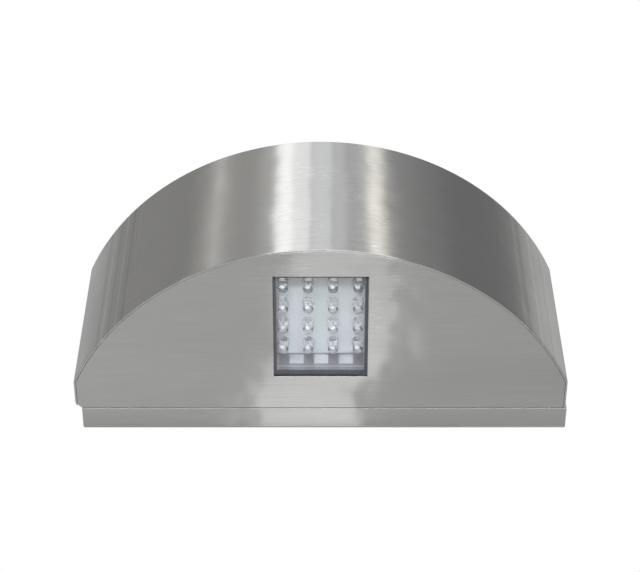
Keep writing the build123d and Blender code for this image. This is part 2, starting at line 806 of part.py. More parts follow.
with BuildPart() as control_screws:
    with Locations(Location((door_centre_x, -control_front, 0), (90, 0, 0))):
        with GridLocations(2 * control_post_x, 2 * control_post_z, 2, 2):
            add(
                screw(
                    small_screw_radius,
                    board_thickness + control_gap,
                    small_head_radius,
                    small_head_height,
                )
            )
save(control_screws, "control_screws")

with BuildPart() as control_chips:
    with BuildSketch(wall_plane(control_front, door_centre_x)):
        with Locations((chip_offset, 0)):
            Rectangle(chip_length, chip_width)
        with Locations((chip_offset, -small_chip_drop)):
            Rectangle(small_chip_length, small_chip_width)
    extrude(amount=chip_thickness)
save(control_chips, "control_chips")

with BuildPart() as storage_coil:
    with BuildSketch(wall_plane(control_front, door_centre_x)):
        with Locations((tall_part_offset, coil_level)):
            Circle(coil_radius)
    extrude(amount=coil_height)
    with BuildSketch(wall_plane(control_front + coil_flange, door_centre_x)):
        with Locations((tall_part_offset, coil_level)):
            Circle(coil_radius)
            Circle(coil_core_radius, mode=Mode.SUBTRACT)
    extrude(amount=coil_height - 2 * coil_flange, mode=Mode.SUBTRACT)
save(storage_coil, "storage_coil")

with BuildPart() as capacitor:
    with BuildSketch(wall_plane(control_front, door_centre_x)):
        with Locations((tall_part_offset, capacitor_level)):
            Circle(capacitor_radius)
    extrude(amount=capacitor_height)
    fillet(capacitor.edges().sort_by(Axis.Y)[0], capacitor_edge)
save(capacitor, "capacitor")

# ---- Wires: each pair ends on the control board ----

board_front_y = -control_front
wire_low_z = -control_height / 2 + wire_inset
wire_high_z = -wire_low_z
wire_xs = (door_centre_x + wire_start, door_centre_x + wire_start + wire_spacing)
lamp_wire_y = led_centre_y + led_pitch * led_rows / 2
panel_wire_y = panel_centre_y + panel_length / 2 - holder_band - wire_step

with BuildPart() as lamp_wires:
    for x in wire_xs:
        add(
            wire(
                [
                    Vector(x, lamp_wire_y, board_back_z),
                    Vector(x, lamp_wire_y, wire_low_z),
                    Vector(x, board_front_y, wire_low_z),
                ]
            )
        )
save(lamp_wires, "lamp_wires")

with BuildPart() as panel_wires:
    for x in wire_xs:
        add(
            wire(
                [
                    Vector(x, panel_wire_y, holder_top_z),
                    Vector(x, panel_wire_y, wire_high_z),
                    Vector(x, board_front_y, wire_high_z),
                ]
            )
        )
save(panel_wires, "panel_wires")

tub_end_x = door_centre_x + tub_length / 2 + tub_wall
battery_wire_x = tub_end_x + wire_side_step
wire_out_y = board_front_y - wire_reach

with BuildPart() as battery_wires:
    for z in (battery_level / 2, -battery_level / 2):
        add(
            wire(
                [
                    Vector(tub_end_x, -battery_depth, z),
                    Vector(battery_wire_x, -battery_depth, z),
                    Vector(battery_wire_x, wire_out_y, z),
                    Vector(wire_xs[1], wire_out_y, z),
                    Vector(wire_xs[1], board_front_y, z),
                ]
            )
        )
save(battery_wires, "battery_wires")

terminal_end_y = -(flange_front + switch_can_depth + terminal_length)

with BuildPart() as switch_wires:
    for step, (terminal, end_x) in enumerate(((0, wire_xs[1]), (1, wire_xs[0]))):
        start_x = switch_centre_x + terminal * terminal_spacing
        out_y = wire_out_y - step * wire_step
        add(
            wire(
                [
                    Vector(start_x, terminal_end_y, 0),
                    Vector(start_x, out_y, 0),
                    Vector(end_x, out_y, 0),
                    Vector(end_x, board_front_y, 0),
                ]
            )
        )
save(switch_wires, "switch_wires")
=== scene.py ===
"""Looks of a half-round brushed steel fence light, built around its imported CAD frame.

Lengths are in metres. +Z is up, +Y points into the fence, and the fence's face is Y = 0.
"""

import logging
import math
from collections.abc import Callable, Sequence
from dataclasses import dataclass, field
from enum import Enum

import bmesh
import bpy
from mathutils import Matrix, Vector


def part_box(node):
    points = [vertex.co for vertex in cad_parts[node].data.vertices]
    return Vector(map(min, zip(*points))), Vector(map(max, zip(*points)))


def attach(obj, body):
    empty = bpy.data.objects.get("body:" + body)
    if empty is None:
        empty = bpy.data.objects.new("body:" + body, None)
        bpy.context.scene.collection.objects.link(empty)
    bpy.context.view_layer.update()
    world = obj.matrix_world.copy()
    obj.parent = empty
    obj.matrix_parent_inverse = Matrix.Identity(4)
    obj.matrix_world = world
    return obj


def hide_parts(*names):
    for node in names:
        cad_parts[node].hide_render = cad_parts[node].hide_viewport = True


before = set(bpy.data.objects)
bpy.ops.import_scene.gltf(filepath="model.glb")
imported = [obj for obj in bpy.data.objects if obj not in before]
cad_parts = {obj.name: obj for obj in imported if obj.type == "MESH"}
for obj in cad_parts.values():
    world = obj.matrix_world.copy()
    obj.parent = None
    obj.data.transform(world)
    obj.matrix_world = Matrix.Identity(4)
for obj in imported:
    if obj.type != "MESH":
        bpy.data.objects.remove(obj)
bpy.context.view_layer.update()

log = logging.getLogger("fence_light")

MM = 0.001
GRAIN_MAP = "grain"
MERGE_DISTANCE = 1e-6
FLAT_ANGLE = math.radians(0.5)
EDGE_ANGLE = math.radians(30)
WORN_WIDTH = 0.3 * MM
SIDE_FACING = 0.7
NOISE_SPREAD = (0.3, 0.7)
WHITE = (1.0, 1.0, 1.0)
WARM = (1.0, 0.99, 0.955)
AMBER = (1.0, 0.97, 0.89)
COOL = (0.99, 0.995, 1.01)

Triple = tuple[float, float, float]
Colour = Triple
Node = bpy.types.Node
Piece = bpy.types.Object
Socket = bpy.types.NodeSocket
Tree = bpy.types.NodeTree


class Body(Enum):
    """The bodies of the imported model."""

    LIGHT = "light"
    DOOR = "door"
    SLIDER = "slider"


class Slot(Enum):
    """The record's material slots."""

    BRUSHED_STEEL = "brushed_steel"
    INNER_STEEL = "inner_steel"
    FASTENERS = "fasteners"
    SEAL_RUBBER = "seal_rubber"
    CLEAR_COVER = "clear_cover"
    LAMP_BOX = "lamp_box_plastic"
    LAMP_BOARD = "lamp_board"
    LED_EPOXY = "led_epoxy"
    TINNED_METAL = "tinned_metal"
    CHIP_BLACK = "chip_black"
    PANEL_COVER = "panel_cover"
    SOLAR_CELL = "solar_cell"
    PANEL_BOARD = "panel_board"
    BLACK_PLASTIC = "black_plastic"
    BATTERY_SLEEVE = "battery_sleeve"
    SWITCH_PLASTIC = "switch_plastic"
    CONTROL_BOARD = "control_board_green"
    COIL_FERRITE = "coil_ferrite"
    CAPACITOR_SLEEVE = "capacitor_sleeve"
    WIRE_WHITE = "wire_white"
    WIRE_RED = "wire_red"


# ---- Node trees ----


class Graph:
    """A node tree under construction, with short ways to add and join nodes."""

    def __init__(self, tree: Tree) -> None:
        """Start from a tree.

        Args:
            tree: The tree that gets the nodes.
        """
        self.tree = tree

    def add(self, kind: str, inputs: dict | None = None, **settings: object) -> Node:
        """Add a node, set its properties and fill its inputs.

        Args:
            kind: The node's type name.
            inputs: For each input's name or number, a value or another node's output.
            settings: Properties of the node.

        Returns:
            The new node.
        """
        node = self.tree.nodes.new(kind)
        for name, value in settings.items():
            setattr(node, name, value)
        self.fill(node, inputs or {})
        return node

    def fill(self, node: Node, inputs: dict) -> None:
        """Link outputs to a node's inputs, or set the inputs' own values.

        Args:
            node: The node.
            inputs: For each input's name or number, the output to link or the value to set.
        """
        for name, value in inputs.items():
            if isinstance(value, Socket):
                self.tree.links.new(value, node.inputs[name])
            else:
                node.inputs[name].default_value = value

    def sum(self, operation: str, *terms: object) -> Socket:
        """One step of arithmetic.

        Args:
            operation: The math node's operation.
            terms: Values or outputs, in order.

        Returns:
            The result.
        """
        kind = "ShaderNodeMath"
        return self.add(kind, dict(enumerate(terms)), operation=operation).outputs[0]

    def times(self, first: object, second: object) -> Socket:
        """The product of two values."""
        return self.sum("MULTIPLY", first, second)

    def minus(self, first: object, second: object) -> Socket:
        """The first value less the second."""
        return self.sum("SUBTRACT", first, second)

    def split(self, vector: object) -> bpy.types.NodeOutputs:
        """The three parts of a vector, by the names X, Y and Z."""
        return self.add("ShaderNodeSeparateXYZ", {0: vector}).outputs

    def combine(self, **parts: object) -> Socket:
        """A vector from its parts X, Y and Z, each 0 where it isn't given."""
        return self.add("ShaderNodeCombineXYZ", parts).outputs[0]

    def vector_sum(self, operation: str, *terms: object) -> Socket:
        """One step of arithmetic with vectors.

        Args:
            operation: The vector math node's operation.
            terms: Vectors, or a vector and the factor for SCALE.

        Returns:
            The resulting vector, or the number for DISTANCE and DOT_PRODUCT.
        """
        inputs = dict(zip((0, "Scale" if operation == "SCALE" else 1), terms))
        outputs = self.add("ShaderNodeVectorMath", inputs, operation=operation).outputs
        return outputs["Value" if operation in ("DISTANCE", "DOT_PRODUCT") else "Vector"]

    def bump(
        self, height: object, depth: float, strength: float = 1.0, under: Socket | None = None
    ) -> Socket:
        """A normal bent by a height.

        Args:
            height: The height.
            depth: Distance that a height of 1 stands for.
            strength: Share of the bending that is kept.
            under: The normal that is bent further, if not the surface's own.

        Returns:
            The bent normal.
        """
        inputs = {"Height": height, "Distance": depth, "Strength": strength}
        if under is not None:
            inputs["Normal"] = under
        return self.add("ShaderNodeBump", inputs).outputs[0]

    def remap(
        self, value: object, low: float, high: float, to_low: float = 0.0, to_high: float = 1.0
    ) -> Socket:
        """Carry a value from one range to another, smoothly and within the new range.

        Args:
            value: The value or output.
            low: Start of the old range.
            high: End of the old range.
            to_low: Start of the new range.
            to_high: End of the new range.

        Returns:
            The carried value.
        """
        ends = {"Value": value, "From Min": low, "From Max": high, "To Min": to_low, "To Max": to_high}
        return self.add("ShaderNodeMapRange", ends, interpolation_type="SMOOTHSTEP").outputs["Result"]

    def tint(self, factor: object, first: object, second: object) -> Socket:
        """Mix two colours.

        Args:
            factor: Share of the second colour.
            first: First colour, as three numbers or an output.
            second: Second colour, as three numbers or an output.

        Returns:
            The mixed colour.
        """
        first, second = ((*c, 1.0) if isinstance(c, tuple) else c for c in (first, second))
        return self.add("ShaderNodeMix", {0: factor, 6: first, 7: second}, data_type="RGBA").outputs[2]

    def noise(
        self, vector: object, scale: object, detail: float = 2.0, rough: float = 0.5
    ) -> Socket:
        """Smooth noise between 0 and 1.

        Args:
            vector: Where it is read.
            scale: Waves per metre.
            detail: Octaves.
            rough: Share of the finer octaves.

        Returns:
            The noise value.
        """
        inputs = {"Vector": vector, "Scale": scale, "Detail": detail, "Roughness": rough}
        return self.add("ShaderNodeTexNoise", inputs).outputs["Fac"]


class Effect(Enum):
    """Surface effects that several finishes share, each built once as a node group."""

    BRUSHED = "brushed_grain"
    WORN_EDGE = "worn_edge"
    CLOUDS = "uneven_tone"
    PEBBLED = "moulded_texture"

    def group(self) -> Tree:
        """The effect's node group, made on first use."""
        found = bpy.data.node_groups.get(self.value)
        return found or EFFECT_BUILDERS[self](self.value)


def new_effect(
    name: str, inputs: dict[str, float | None], outputs: Sequence[str]
) -> tuple[Graph, dict[str, Socket], Node]:
    """Start a shader node group.

    Args:
        name: The group's name.
        inputs: For each input its usual value, or None for a vector.
        outputs: Names of the outputs, all plain values.

    Returns:
        The graph, the inputs' sockets by name, and the node that takes the outputs.
    """
    tree = bpy.data.node_groups.new(name, "ShaderNodeTree")
    for title, value in inputs.items():
        kind = "NodeSocketVector" if value is None else "NodeSocketFloat"
        socket = tree.interface.new_socket(title, in_out="INPUT", socket_type=kind)
        if value is not None:
            socket.default_value = value
    for title in outputs:
        tree.interface.new_socket(title, in_out="OUTPUT", socket_type="NodeSocketFloat")
    graph = Graph(tree)
    start = graph.add("NodeGroupInput")
    return graph, {s.name: s for s in start.outputs if s.name}, graph.add("NodeGroupOutput")


def build_brushed(name: str) -> Tree:
    """Long fine lines along the first direction of a map, and sparse short scuffs.

    Args:
        name: The group's name.

    Returns:
        The node group.
    """
    fine_length, fine_width, scuff_width = 0.35, 0.3, 1.6
    fine_shift, scuff_shift, harshness = 7.3, 19.1, 0.6
    patches, patchy, scratched = 38.0, (0.45, 0.62), (0.55, 0.67)
    inputs = {"Vector": None, "Line Length": 0.03, "Line Width": 0.0003, "Scuff Length": 0.006}
    graph, given, result = new_effect(name, inputs, ("Lines", "Fine Lines", "Scuffs"))
    place = graph.split(given["Vector"])

    def lines(length: object, width: object, shift: float, detail: float) -> Socket:
        along = graph.sum("DIVIDE", place["X"], length)
        across = graph.sum("DIVIDE", place["Y"], width)
        where = graph.combine(X=along, Y=across, Z=shift)
        return graph.noise(where, 1.0, detail, harshness)

    broad = lines(given["Line Length"], given["Line Width"], 0.0, 2.0)
    shorter = graph.times(given["Line Length"], fine_length)
    fine = lines(shorter, graph.times(given["Line Width"], fine_width), fine_shift, 1.0)
    wider = graph.times(given["Line Width"], scuff_width)
    scuff = lines(given["Scuff Length"], wider, scuff_shift, 1.0)
    patch = graph.noise(given["Vector"], patches)
    share = graph.times(graph.remap(patch, *patchy), graph.remap(scuff, *scratched))
    graph.fill(result, {"Lines": broad, "Fine Lines": fine, "Scuffs": share})
    return graph.tree


def build_worn_edge(name: str) -> Tree:
    """A mask of the outer edges, broken up as by handling.

    Args:
        name: The group's name.

    Returns:
        The node group.
    """
    flat, sharp = 0.995, 0.9
    faintest, broken_up = 0.25, (0.38, 0.62)
    inputs = {"Vector": None, "Radius": 0.0004, "Break Up": 900.0}
    graph, given, result = new_effect(name, inputs, ("Mask",))
    soft = graph.add("ShaderNodeBevel", {"Radius": given["Radius"]}, samples=4).outputs[0]
    true = graph.add("ShaderNodeNewGeometry").outputs["Normal"]
    edge = graph.remap(graph.vector_sum("DOT_PRODUCT", soft, true), flat, sharp)
    patch = graph.noise(given["Vector"], given["Break Up"], 3.0)
    graph.fill(result, {"Mask": graph.times(edge, graph.remap(patch, *broken_up, faintest, 1.0))})
    return graph.tree


def build_clouds(name: str) -> Tree:
    """Slow variation of tone over centimetres, with a finer share.

    Args:
        name: The group's name.

    Returns:
        The node group.
    """
    graph, given, result = new_effect(name, {"Vector": None, "Scale": 40.0}, ("Tone",))
    slow = graph.noise(given["Vector"], given["Scale"], 4.0, 0.55)
    graph.fill(result, {"Tone": graph.remap(slow, *NOISE_SPREAD)})
    return graph.tree


def build_pebbled(name: str) -> Tree:
    """Height of a fine moulded texture.

    Args:
        name: The group's name.

    Returns:
        The node group.
    """
    graph, given, result = new_effect(name, {"Vector": None, "Scale": 2600.0}, ("Height",))
    middle, rim = 0.1, 0.7
    inputs = {"Vector": given["Vector"], "Scale": given["Scale"]}
    cells = graph.add("ShaderNodeTexVoronoi", inputs, feature="SMOOTH_F1").outputs["Distance"]
    graph.fill(result, {"Height": graph.remap(cells, middle, rim)})
    return graph.tree


EFFECT_BUILDERS: dict[Effect, Callable[[str], Tree]] = {
    Effect.BRUSHED: build_brushed,
    Effect.WORN_EDGE: build_worn_edge,
    Effect.CLOUDS: build_clouds,
    Effect.PEBBLED: build_pebbled,
}


# ---- Finishes ----


class Skin(Graph):
    """A material under construction: its graph, its surface shader and the point on the piece."""

    def __init__(self, material: bpy.types.Material, colour: Colour, roughness: float) -> None:
        """Start from a plain surface.

        Args:
            material: The material that gets the nodes.
            colour: Its colour.
            roughness: Its roughness.
        """
        super().__init__(material.node_tree)
        base = {"Base Color": (*colour, 1.0), "Roughness": roughness}
        self.shader = self.add("ShaderNodeBsdfPrincipled", base)
        self.surface = self.shader.outputs[0]
        self.place = self.add("ShaderNodeTexCoord").outputs["Object"]

    def effect(self, effect: Effect, **inputs: object) -> bpy.types.NodeOutputs:
        """Place a shared effect, read at the point on the piece where no Vector is given.

        Args:
            effect: The effect.
            inputs: A value or an output for each named input.

        Returns:
            The effect's outputs.
        """
        given = {"Vector": self.place, **inputs}
        return self.add("ShaderNodeGroup", given, node_tree=effect.group()).outputs

    def set(self, inputs: dict) -> None:
        """Fill the surface shader's inputs, by their names."""
        self.fill(self.shader, inputs)

    def relief(self, height: object, depth: float) -> None:
        """Bend the surface by a height of up to a depth."""
        self.set({"Normal": self.bump(height, depth)})


@dataclass(frozen=True)
class Finish:
    """What every finish has: a name, a slot of the record, a colour and a roughness."""

    name: str
    slot: Slot
    colour: Colour
    roughness: float

    def material(self) -> bpy.types.Material:
        """The finish's material, made on first use."""
        return bpy.data.materials.get(self.name) or self.build()

    def build(self) -> bpy.types.Material:
        """Build the material.

        Returns:
            The new material.
        """
        material = bpy.data.materials.new(self.name)
        material.use_nodes = True
        material.node_tree.nodes.clear()
        material.diffuse_color = (*self.colour, 1.0)
        skin = Skin(material, self.colour, self.roughness)
        skin.add("ShaderNodeOutputMaterial", {"Surface": self.shade(skin)})
        return material

    def shade(self, skin: Skin) -> Socket:
        """Give the skin its detail.

        Args:
            skin: The material under construction.

        Returns:
            The output that the surface shows.
        """
        return skin.surface

    def uneven(self, skin: Skin, darker: float, scale: float, rougher: float) -> Socket:
        """Vary colour and roughness slowly over the surface.

        Args:
            skin: The material under construction.
            darker: Share of the colour that the darkest places lose.
            scale: Waves of the variation per metre.
            rougher: Roughness that the roughest places gain.

        Returns:
            The colour, for further layers.
        """
        tone = skin.effect(Effect.CLOUDS, Scale=scale)["Tone"]
        dark = tuple(c * (1.0 - darker) for c in self.colour)
        colour = skin.tint(tone, dark, self.colour)
        rough = skin.remap(tone, 0.0, 1.0, self.roughness + rougher, self.roughness)
        skin.set({"Base Color": colour, "Roughness": rough})
        return colour

    def wear(self, skin: Skin, colour: Socket, worn: Colour) -> None:
        """Show another colour along the outer edges.

        Args:
            skin: The material under construction.
            colour: The colour so far.
            worn: The colour of worn edges.
        """
        mask = skin.effect(Effect.WORN_EDGE, Radius=WORN_WIDTH)["Mask"]
        skin.set({"Base Color": skin.tint(mask, colour, worn)})


@dataclass(frozen=True)
class BrushedSteel(Finish):
    """Stainless sheet brushed along the first direction of its grain map."""

    slot: Slot = Slot.BRUSHED_STEEL
    colour: Colour = (0.63, 0.63, 0.625)
    roughness: float = 0.15
    anisotropy: float = 1.0
    quarter_turn: float = 0.25
    line_length: float = 0.040
    line_width: float = 0.00035
    line_dark: float = 0.95
    line_light: float = 1.04
    line_rough: float = 0.06
    smoothest: float = 0.04
    cloud_scale: float = 30.0
    cloud_rough: float = 0.03
    wave_depth: float = 0.00016
    wave_scale: float = 55.0
    groove_depth: float = 0.000003
    groove_strength: float = 0.5
    scuff_depth: float = 0.000005
    scuff_share: float = 0.5
    scuffed: Colour = (0.85, 0.85, 0.85)
    rub_place: Triple = (0.006, -0.088, -0.024)
    rub_reach: float = 0.075
    rub_elsewhere: float = 0.15
    edge_width: float = 0.0004
    edge_share: float = 0.6
    worn: Colour = (0.78, 0.77, 0.75)
    crown: float = 0.0
    crown_line: float = -0.0125
    twist: float = 0.0
    twist_start: float = -0.050
    twist_end: float = -0.018
    untwist: float = -0.1
    # Painted reflection streaks near the ends of a bent sheet: share, width, place and colours.
    painted_streaks: float = 0.0
    streak_width: float = 0.005
    streak_start: float = 0.072
    streak_end: float = 0.094
    painted_bright_streak: Colour = (0.80, 0.80, 0.79)
    painted_dark_streak: Colour = (0.50, 0.49, 0.475)
    light_spread: tuple[float, float] = (0.56, 0.66)
    dark_spread: tuple[float, float] = (0.44, 0.36)

    def shade(self, skin: Skin) -> Socket:
        """Brush the steel.

        Args:
            skin: The material under construction.

        Returns:
            The surface.
        """
        lie = skin.add("ShaderNodeUVMap", uv_map=GRAIN_MAP).outputs["UV"]
        sizes = {"Line Length": self.line_length, "Line Width": self.line_width}
        brushed = skin.effect(Effect.BRUSHED, Vector=lie, **sizes)
        away = skin.vector_sum("DISTANCE", skin.place, self.rub_place)
        rub = skin.remap(away, self.rub_reach, self.rub_reach / 2, self.rub_elsewhere, 1.0)
        scuffs = skin.times(brushed["Scuffs"], rub)
        skin.set({"Base Color": self.tinted(skin, lie, brushed["Lines"], scuffs)})
        tone = skin.effect(Effect.CLOUDS, Scale=self.cloud_scale)["Tone"]
        lined = (brushed["Fine Lines"], self.line_rough, self.roughness - self.smoothest)
        rough = skin.sum("MULTIPLY_ADD", tone, self.cloud_rough, skin.sum("MULTIPLY_ADD", *lined))
        skin.set({"Roughness": rough})
        tangent = skin.add("ShaderNodeTangent", direction_type="UV_MAP", uv_map=GRAIN_MAP).outputs[0]
        turned = {"Anisotropic": self.anisotropy, "Anisotropic Rotation": self.quarter_turn}
        skin.set({"Metallic": 1.0, "Tangent": tangent, **turned})
        bent = skin.bump(self.bow(skin), 1.0)
        waved = skin.bump(skin.noise(skin.place, self.wave_scale, 1.0), self.wave_depth, under=bent)
        grooves = skin.sum("MULTIPLY_ADD", scuffs, self.scuff_depth / self.groove_depth, brushed["Lines"])
        normal = skin.bump(grooves, self.groove_depth, self.groove_strength, waved)
        skin.set({"Normal": normal})
        return skin.surface

    def tinted(self, skin: Skin, lie: Socket, lines: Socket, scuffs: Socket) -> Socket:
        """The steel's colour, with its lines, scuffs, painted reflection streaks and worn edges.

        Args:
            skin: The material under construction.
            lie: The place on the grain map.
            lines: The brushed lines.
            scuffs: The scuffs.

        Returns:
            The colour.
        """
        dull = tuple(c * self.line_dark for c in self.colour)
        bright = tuple(min(1.0, c * self.line_light) for c in self.colour)
        colour = skin.tint(skin.remap(lines, *NOISE_SPREAD), dull, bright)
        colour = skin.tint(skin.times(scuffs, self.scuff_share), colour, self.scuffed)
        # Painted reflections: light and dark streaks near the sheet's ends.
        if self.painted_streaks > 0.0:
            colour = self.paint_streaks(skin, colour, lie)
        edge = skin.effect(Effect.WORN_EDGE, Radius=self.edge_width)["Mask"]
        return skin.tint(skin.times(edge, self.edge_share), colour, self.worn)

    def bow(self, skin: Skin) -> Socket:
        """Height of the sheet's slow bow: a crown across it, and a twist along the fence.

        Args:
            skin: The material under construction.

        Returns:
            The height in metres.
        """
        at = skin.split(skin.place)
        fall = skin.sum("POWER", skin.minus(at["Y"], self.crown_line), 2.0)
        back = self.twist * self.untwist
        tilt = skin.remap(at["Y"], self.twist_start, self.twist_end, self.twist, back)
        return skin.sum("MULTIPLY_ADD", tilt, at["X"], skin.times(fall, -self.crown))

    def paint_streaks(self, skin: Skin, colour: Socket, lie: Socket) -> Socket:
        """Painted reflections: upright light and dark streaks near the two ends of a bent sheet.

        Args:
            skin: The material under construction.
            colour: The colour so far.
            lie: The place on the grain map.

        Returns:
            The colour with the painted streaks.
        """
        stretch = (1.0 / self.streak_width, 1.0, 1.0)
        streak = skin.noise(skin.vector_sum("MULTIPLY", lie, stretch), 1.0)
        aside = skin.sum("ABSOLUTE", skin.split(skin.place)["X"])
        share = skin.times(skin.remap(aside, self.streak_start, self.streak_end), self.painted_streaks)
        light = skin.times(skin.remap(streak, *self.light_spread), share)
        dark = skin.times(skin.remap(streak, *self.dark_spread), share)
        return skin.tint(dark, skin.tint(light, colour, self.painted_bright_streak), self.painted_dark_streak)


@dataclass(frozen=True)
class PlainMetal(Finish):
    """Rolled, plated or tinned metal without a brushed grain."""

    slot: Slot = Slot.FASTENERS
    colour: Colour = (0.66, 0.66, 0.65)
    roughness: float = 0.28
    worn: Colour = (0.82, 0.82, 0.8)
    speckle: float = 500.0
    pit_depth: float = 0.00001
    metal: float = 1.0
    darker: float = 0.22
    rougher: float = 0.16
    pits_per_speckle: float = 4.0

    def shade(self, skin: Skin) -> Socket:
        """Plate the metal.

        Args:
            skin: The material under construction.

        Returns:
            The surface.
        """
        colour = self.uneven(skin, self.darker, self.speckle, self.rougher)
        self.wear(skin, colour, self.worn)
        skin.set({"Metallic": self.metal})
        pits = skin.noise(skin.place, self.speckle * self.pits_per_speckle, 3.0)
        skin.relief(pits, self.pit_depth)
        return skin.surface


@dataclass(frozen=True)
class Rubber(Finish):
    """Matt foam rubber with open pores."""

    slot: Slot = Slot.SEAL_RUBBER
    colour: Colour = (0.05, 0.05, 0.054)
    roughness: float = 0.8
    darker: float = 0.35
    cloud_scale: float = 300.0
    rougher: float = 0.1
    pore_scale: float = 3200.0
    pore_depth: float = 0.00008
    gloss: float = 0.3

    def shade(self, skin: Skin) -> Socket:
        """Give the rubber its pores.

        Args:
            skin: The material under construction.

        Returns:
            The surface.
        """
        self.uneven(skin, self.darker, self.cloud_scale, self.rougher)
        pores = skin.effect(Effect.PEBBLED, Scale=self.pore_scale)
        skin.relief(pores["Height"], self.pore_depth)
        skin.set({"Specular IOR Level": self.gloss})
        return skin.surface


@dataclass(frozen=True)
class MouldedPlastic(Finish):
    """Opaque plastic with a moulded texture and handled edges."""

    slot: Slot = Slot.BLACK_PLASTIC
    colour: Colour = (0.035, 0.035, 0.037)
    roughness: float = 0.45
    worn: Colour = (0.12, 0.12, 0.12)
    pebble_scale: float = 2200.0
    pebble_depth: float = 0.00003
    darker: float = 0.25
    cloud_scale: float = 120.0
    rougher: float = 0.12

    def shade(self, skin: Skin) -> Socket:
        """Texture the plastic.

        Args:
            skin: The material under construction.

        Returns:
            The surface.
        """
        colour = self.uneven(skin, self.darker, self.cloud_scale, self.rougher)
        self.wear(skin, colour, self.worn)
        pebbles = skin.effect(Effect.PEBBLED, Scale=self.pebble_scale)
        skin.relief(pebbles["Height"], self.pebble_depth)
        return skin.surface


@dataclass(frozen=True)
class GlossBox(Finish):
    """Glossy grey walls round the lamps, with a painted highlight between them and painted shade beside
    them.
    """

    slot: Slot = Slot.LAMP_BOX
    colour: Colour = (0.22, 0.225, 0.26)
    roughness: float = 0.12
    # Painted highlight colour between the lamps, and painted shade colour beside them.
    painted_highlight: Colour = (0.66, 0.67, 0.72)
    painted_shade: Colour = (0.165, 0.168, 0.190)
    mirror: float = 0.3
    gloss: float = 0.2
    lamp_line: float = 0.0045
    lamp_pitch: float = 0.012
    shade_reach: float = 0.0024
    soft_edge: float = 0.0005
    polish_top: float = -0.0328
    polish_foot: float = -0.0393
    flange_level: float = -0.0443
    # Painted highlight lines low on the walls: their pitch, width and share.
    ridge_pitch: float = 0.0016
    ridge_width: float = 0.0005
    painted_line_share: float = 0.55
    darker: float = 0.16
    cloud_scale: float = 150.0
    rougher: float = 0.08
    blotch_scale: float = 95.0
    blotch_spread: tuple[float, float] = (0.35, 0.6)
    dullest: float = 0.45
    dulled: float = 0.2
    flow_scale: float = 140.0
    flow_depth: float = 0.00002

    def shade(self, skin: Skin) -> Socket:
        """Polish the walls, and paint a highlight between the lamps and shade beside them.

        Args:
            skin: The material under construction.

        Returns:
            The surface.
        """
        colour = self.uneven(skin, self.darker, self.cloud_scale, self.rougher)
        at = skin.split(skin.place)
        level = at["Z"]
        off = skin.sum("PINGPONG", skin.minus(at["X"], self.lamp_line), self.lamp_pitch / 2)
        between = skin.remap(off, self.shade_reach, self.shade_reach + self.soft_edge)
        above_foot = skin.remap(level, self.polish_foot - self.soft_edge, self.polish_foot)
        below_top = skin.remap(level, self.polish_top + self.soft_edge, self.polish_top)
        blotch = skin.noise(skin.place, self.blotch_scale)
        cloud = skin.remap(blotch, *self.blotch_spread, self.dullest, 1.0)
        # Between the lamps the walls are glossier and get a lighter colour: a painted reflection of the
        # board.
        gloss_and_painted_highlight = skin.times(skin.times(between, skin.times(above_foot, below_top)), cloud)
        inside = skin.sum("GREATER_THAN", level, self.flange_level)
        # Thin lines in the walls' lower part are painted highlight lines.
        ridge = skin.sum("LESS_THAN", skin.sum("PINGPONG", level, self.ridge_pitch), self.ridge_width / 2)
        lines = skin.times(skin.times(ridge, inside), skin.minus(1.0, above_foot))
        # Painted shade: darker colour on the walls beside each lamp column.
        colour = skin.tint(skin.times(inside, skin.minus(1.0, between)), colour, self.painted_shade)
        colour = skin.tint(skin.times(lines, self.painted_line_share), colour, self.painted_highlight)
        mirrored = skin.times(gloss_and_painted_highlight, self.mirror)
        skin.set({"Base Color": skin.tint(gloss_and_painted_highlight, colour, self.painted_highlight), "Metallic": mirrored})
        rough = skin.sum("MULTIPLY_ADD", skin.minus(1.0, gloss_and_painted_highlight), self.dulled, self.roughness)
        skin.set({"Roughness": rough, "Specular IOR Level": self.gloss})
        skin.relief(skin.noise(skin.place, self.flow_scale), self.flow_depth)
        return skin.surface


@dataclass(frozen=True)
class BoardMask(Finish):
    """Satin solder mask over a circuit board, with bare cut edges."""

    slot: Slot = Slot.LAMP_BOARD
    colour: Colour = (0.545, 0.578, 0.63)
    roughness: float = 0.38
    core: Colour = (0.55, 0.52, 0.36)
    darker: float = 0.07
    cloud_scale: float = 60.0
    rougher: float = 0.08
    weave_scale: float = 1500.0
    weave_share: float = 0.06
    weave_depth: float = 0.00001

    def shade(self, skin: Skin) -> Socket:
        """Coat the board.

        Args:
            skin: The material under construction.

        Returns:
            The surface.
        """
        colour = self.uneven(skin, self.darker, self.cloud_scale, self.rougher)
        weave = skin.effect(Effect.PEBBLED, Scale=self.weave_scale)
        height = weave["Height"]
        colour = skin.tint(skin.times(height, self.weave_share), colour, WHITE)
        self.wear(skin, colour, self.core)
        skin.relief(height, self.weave_depth)
        return skin.surface


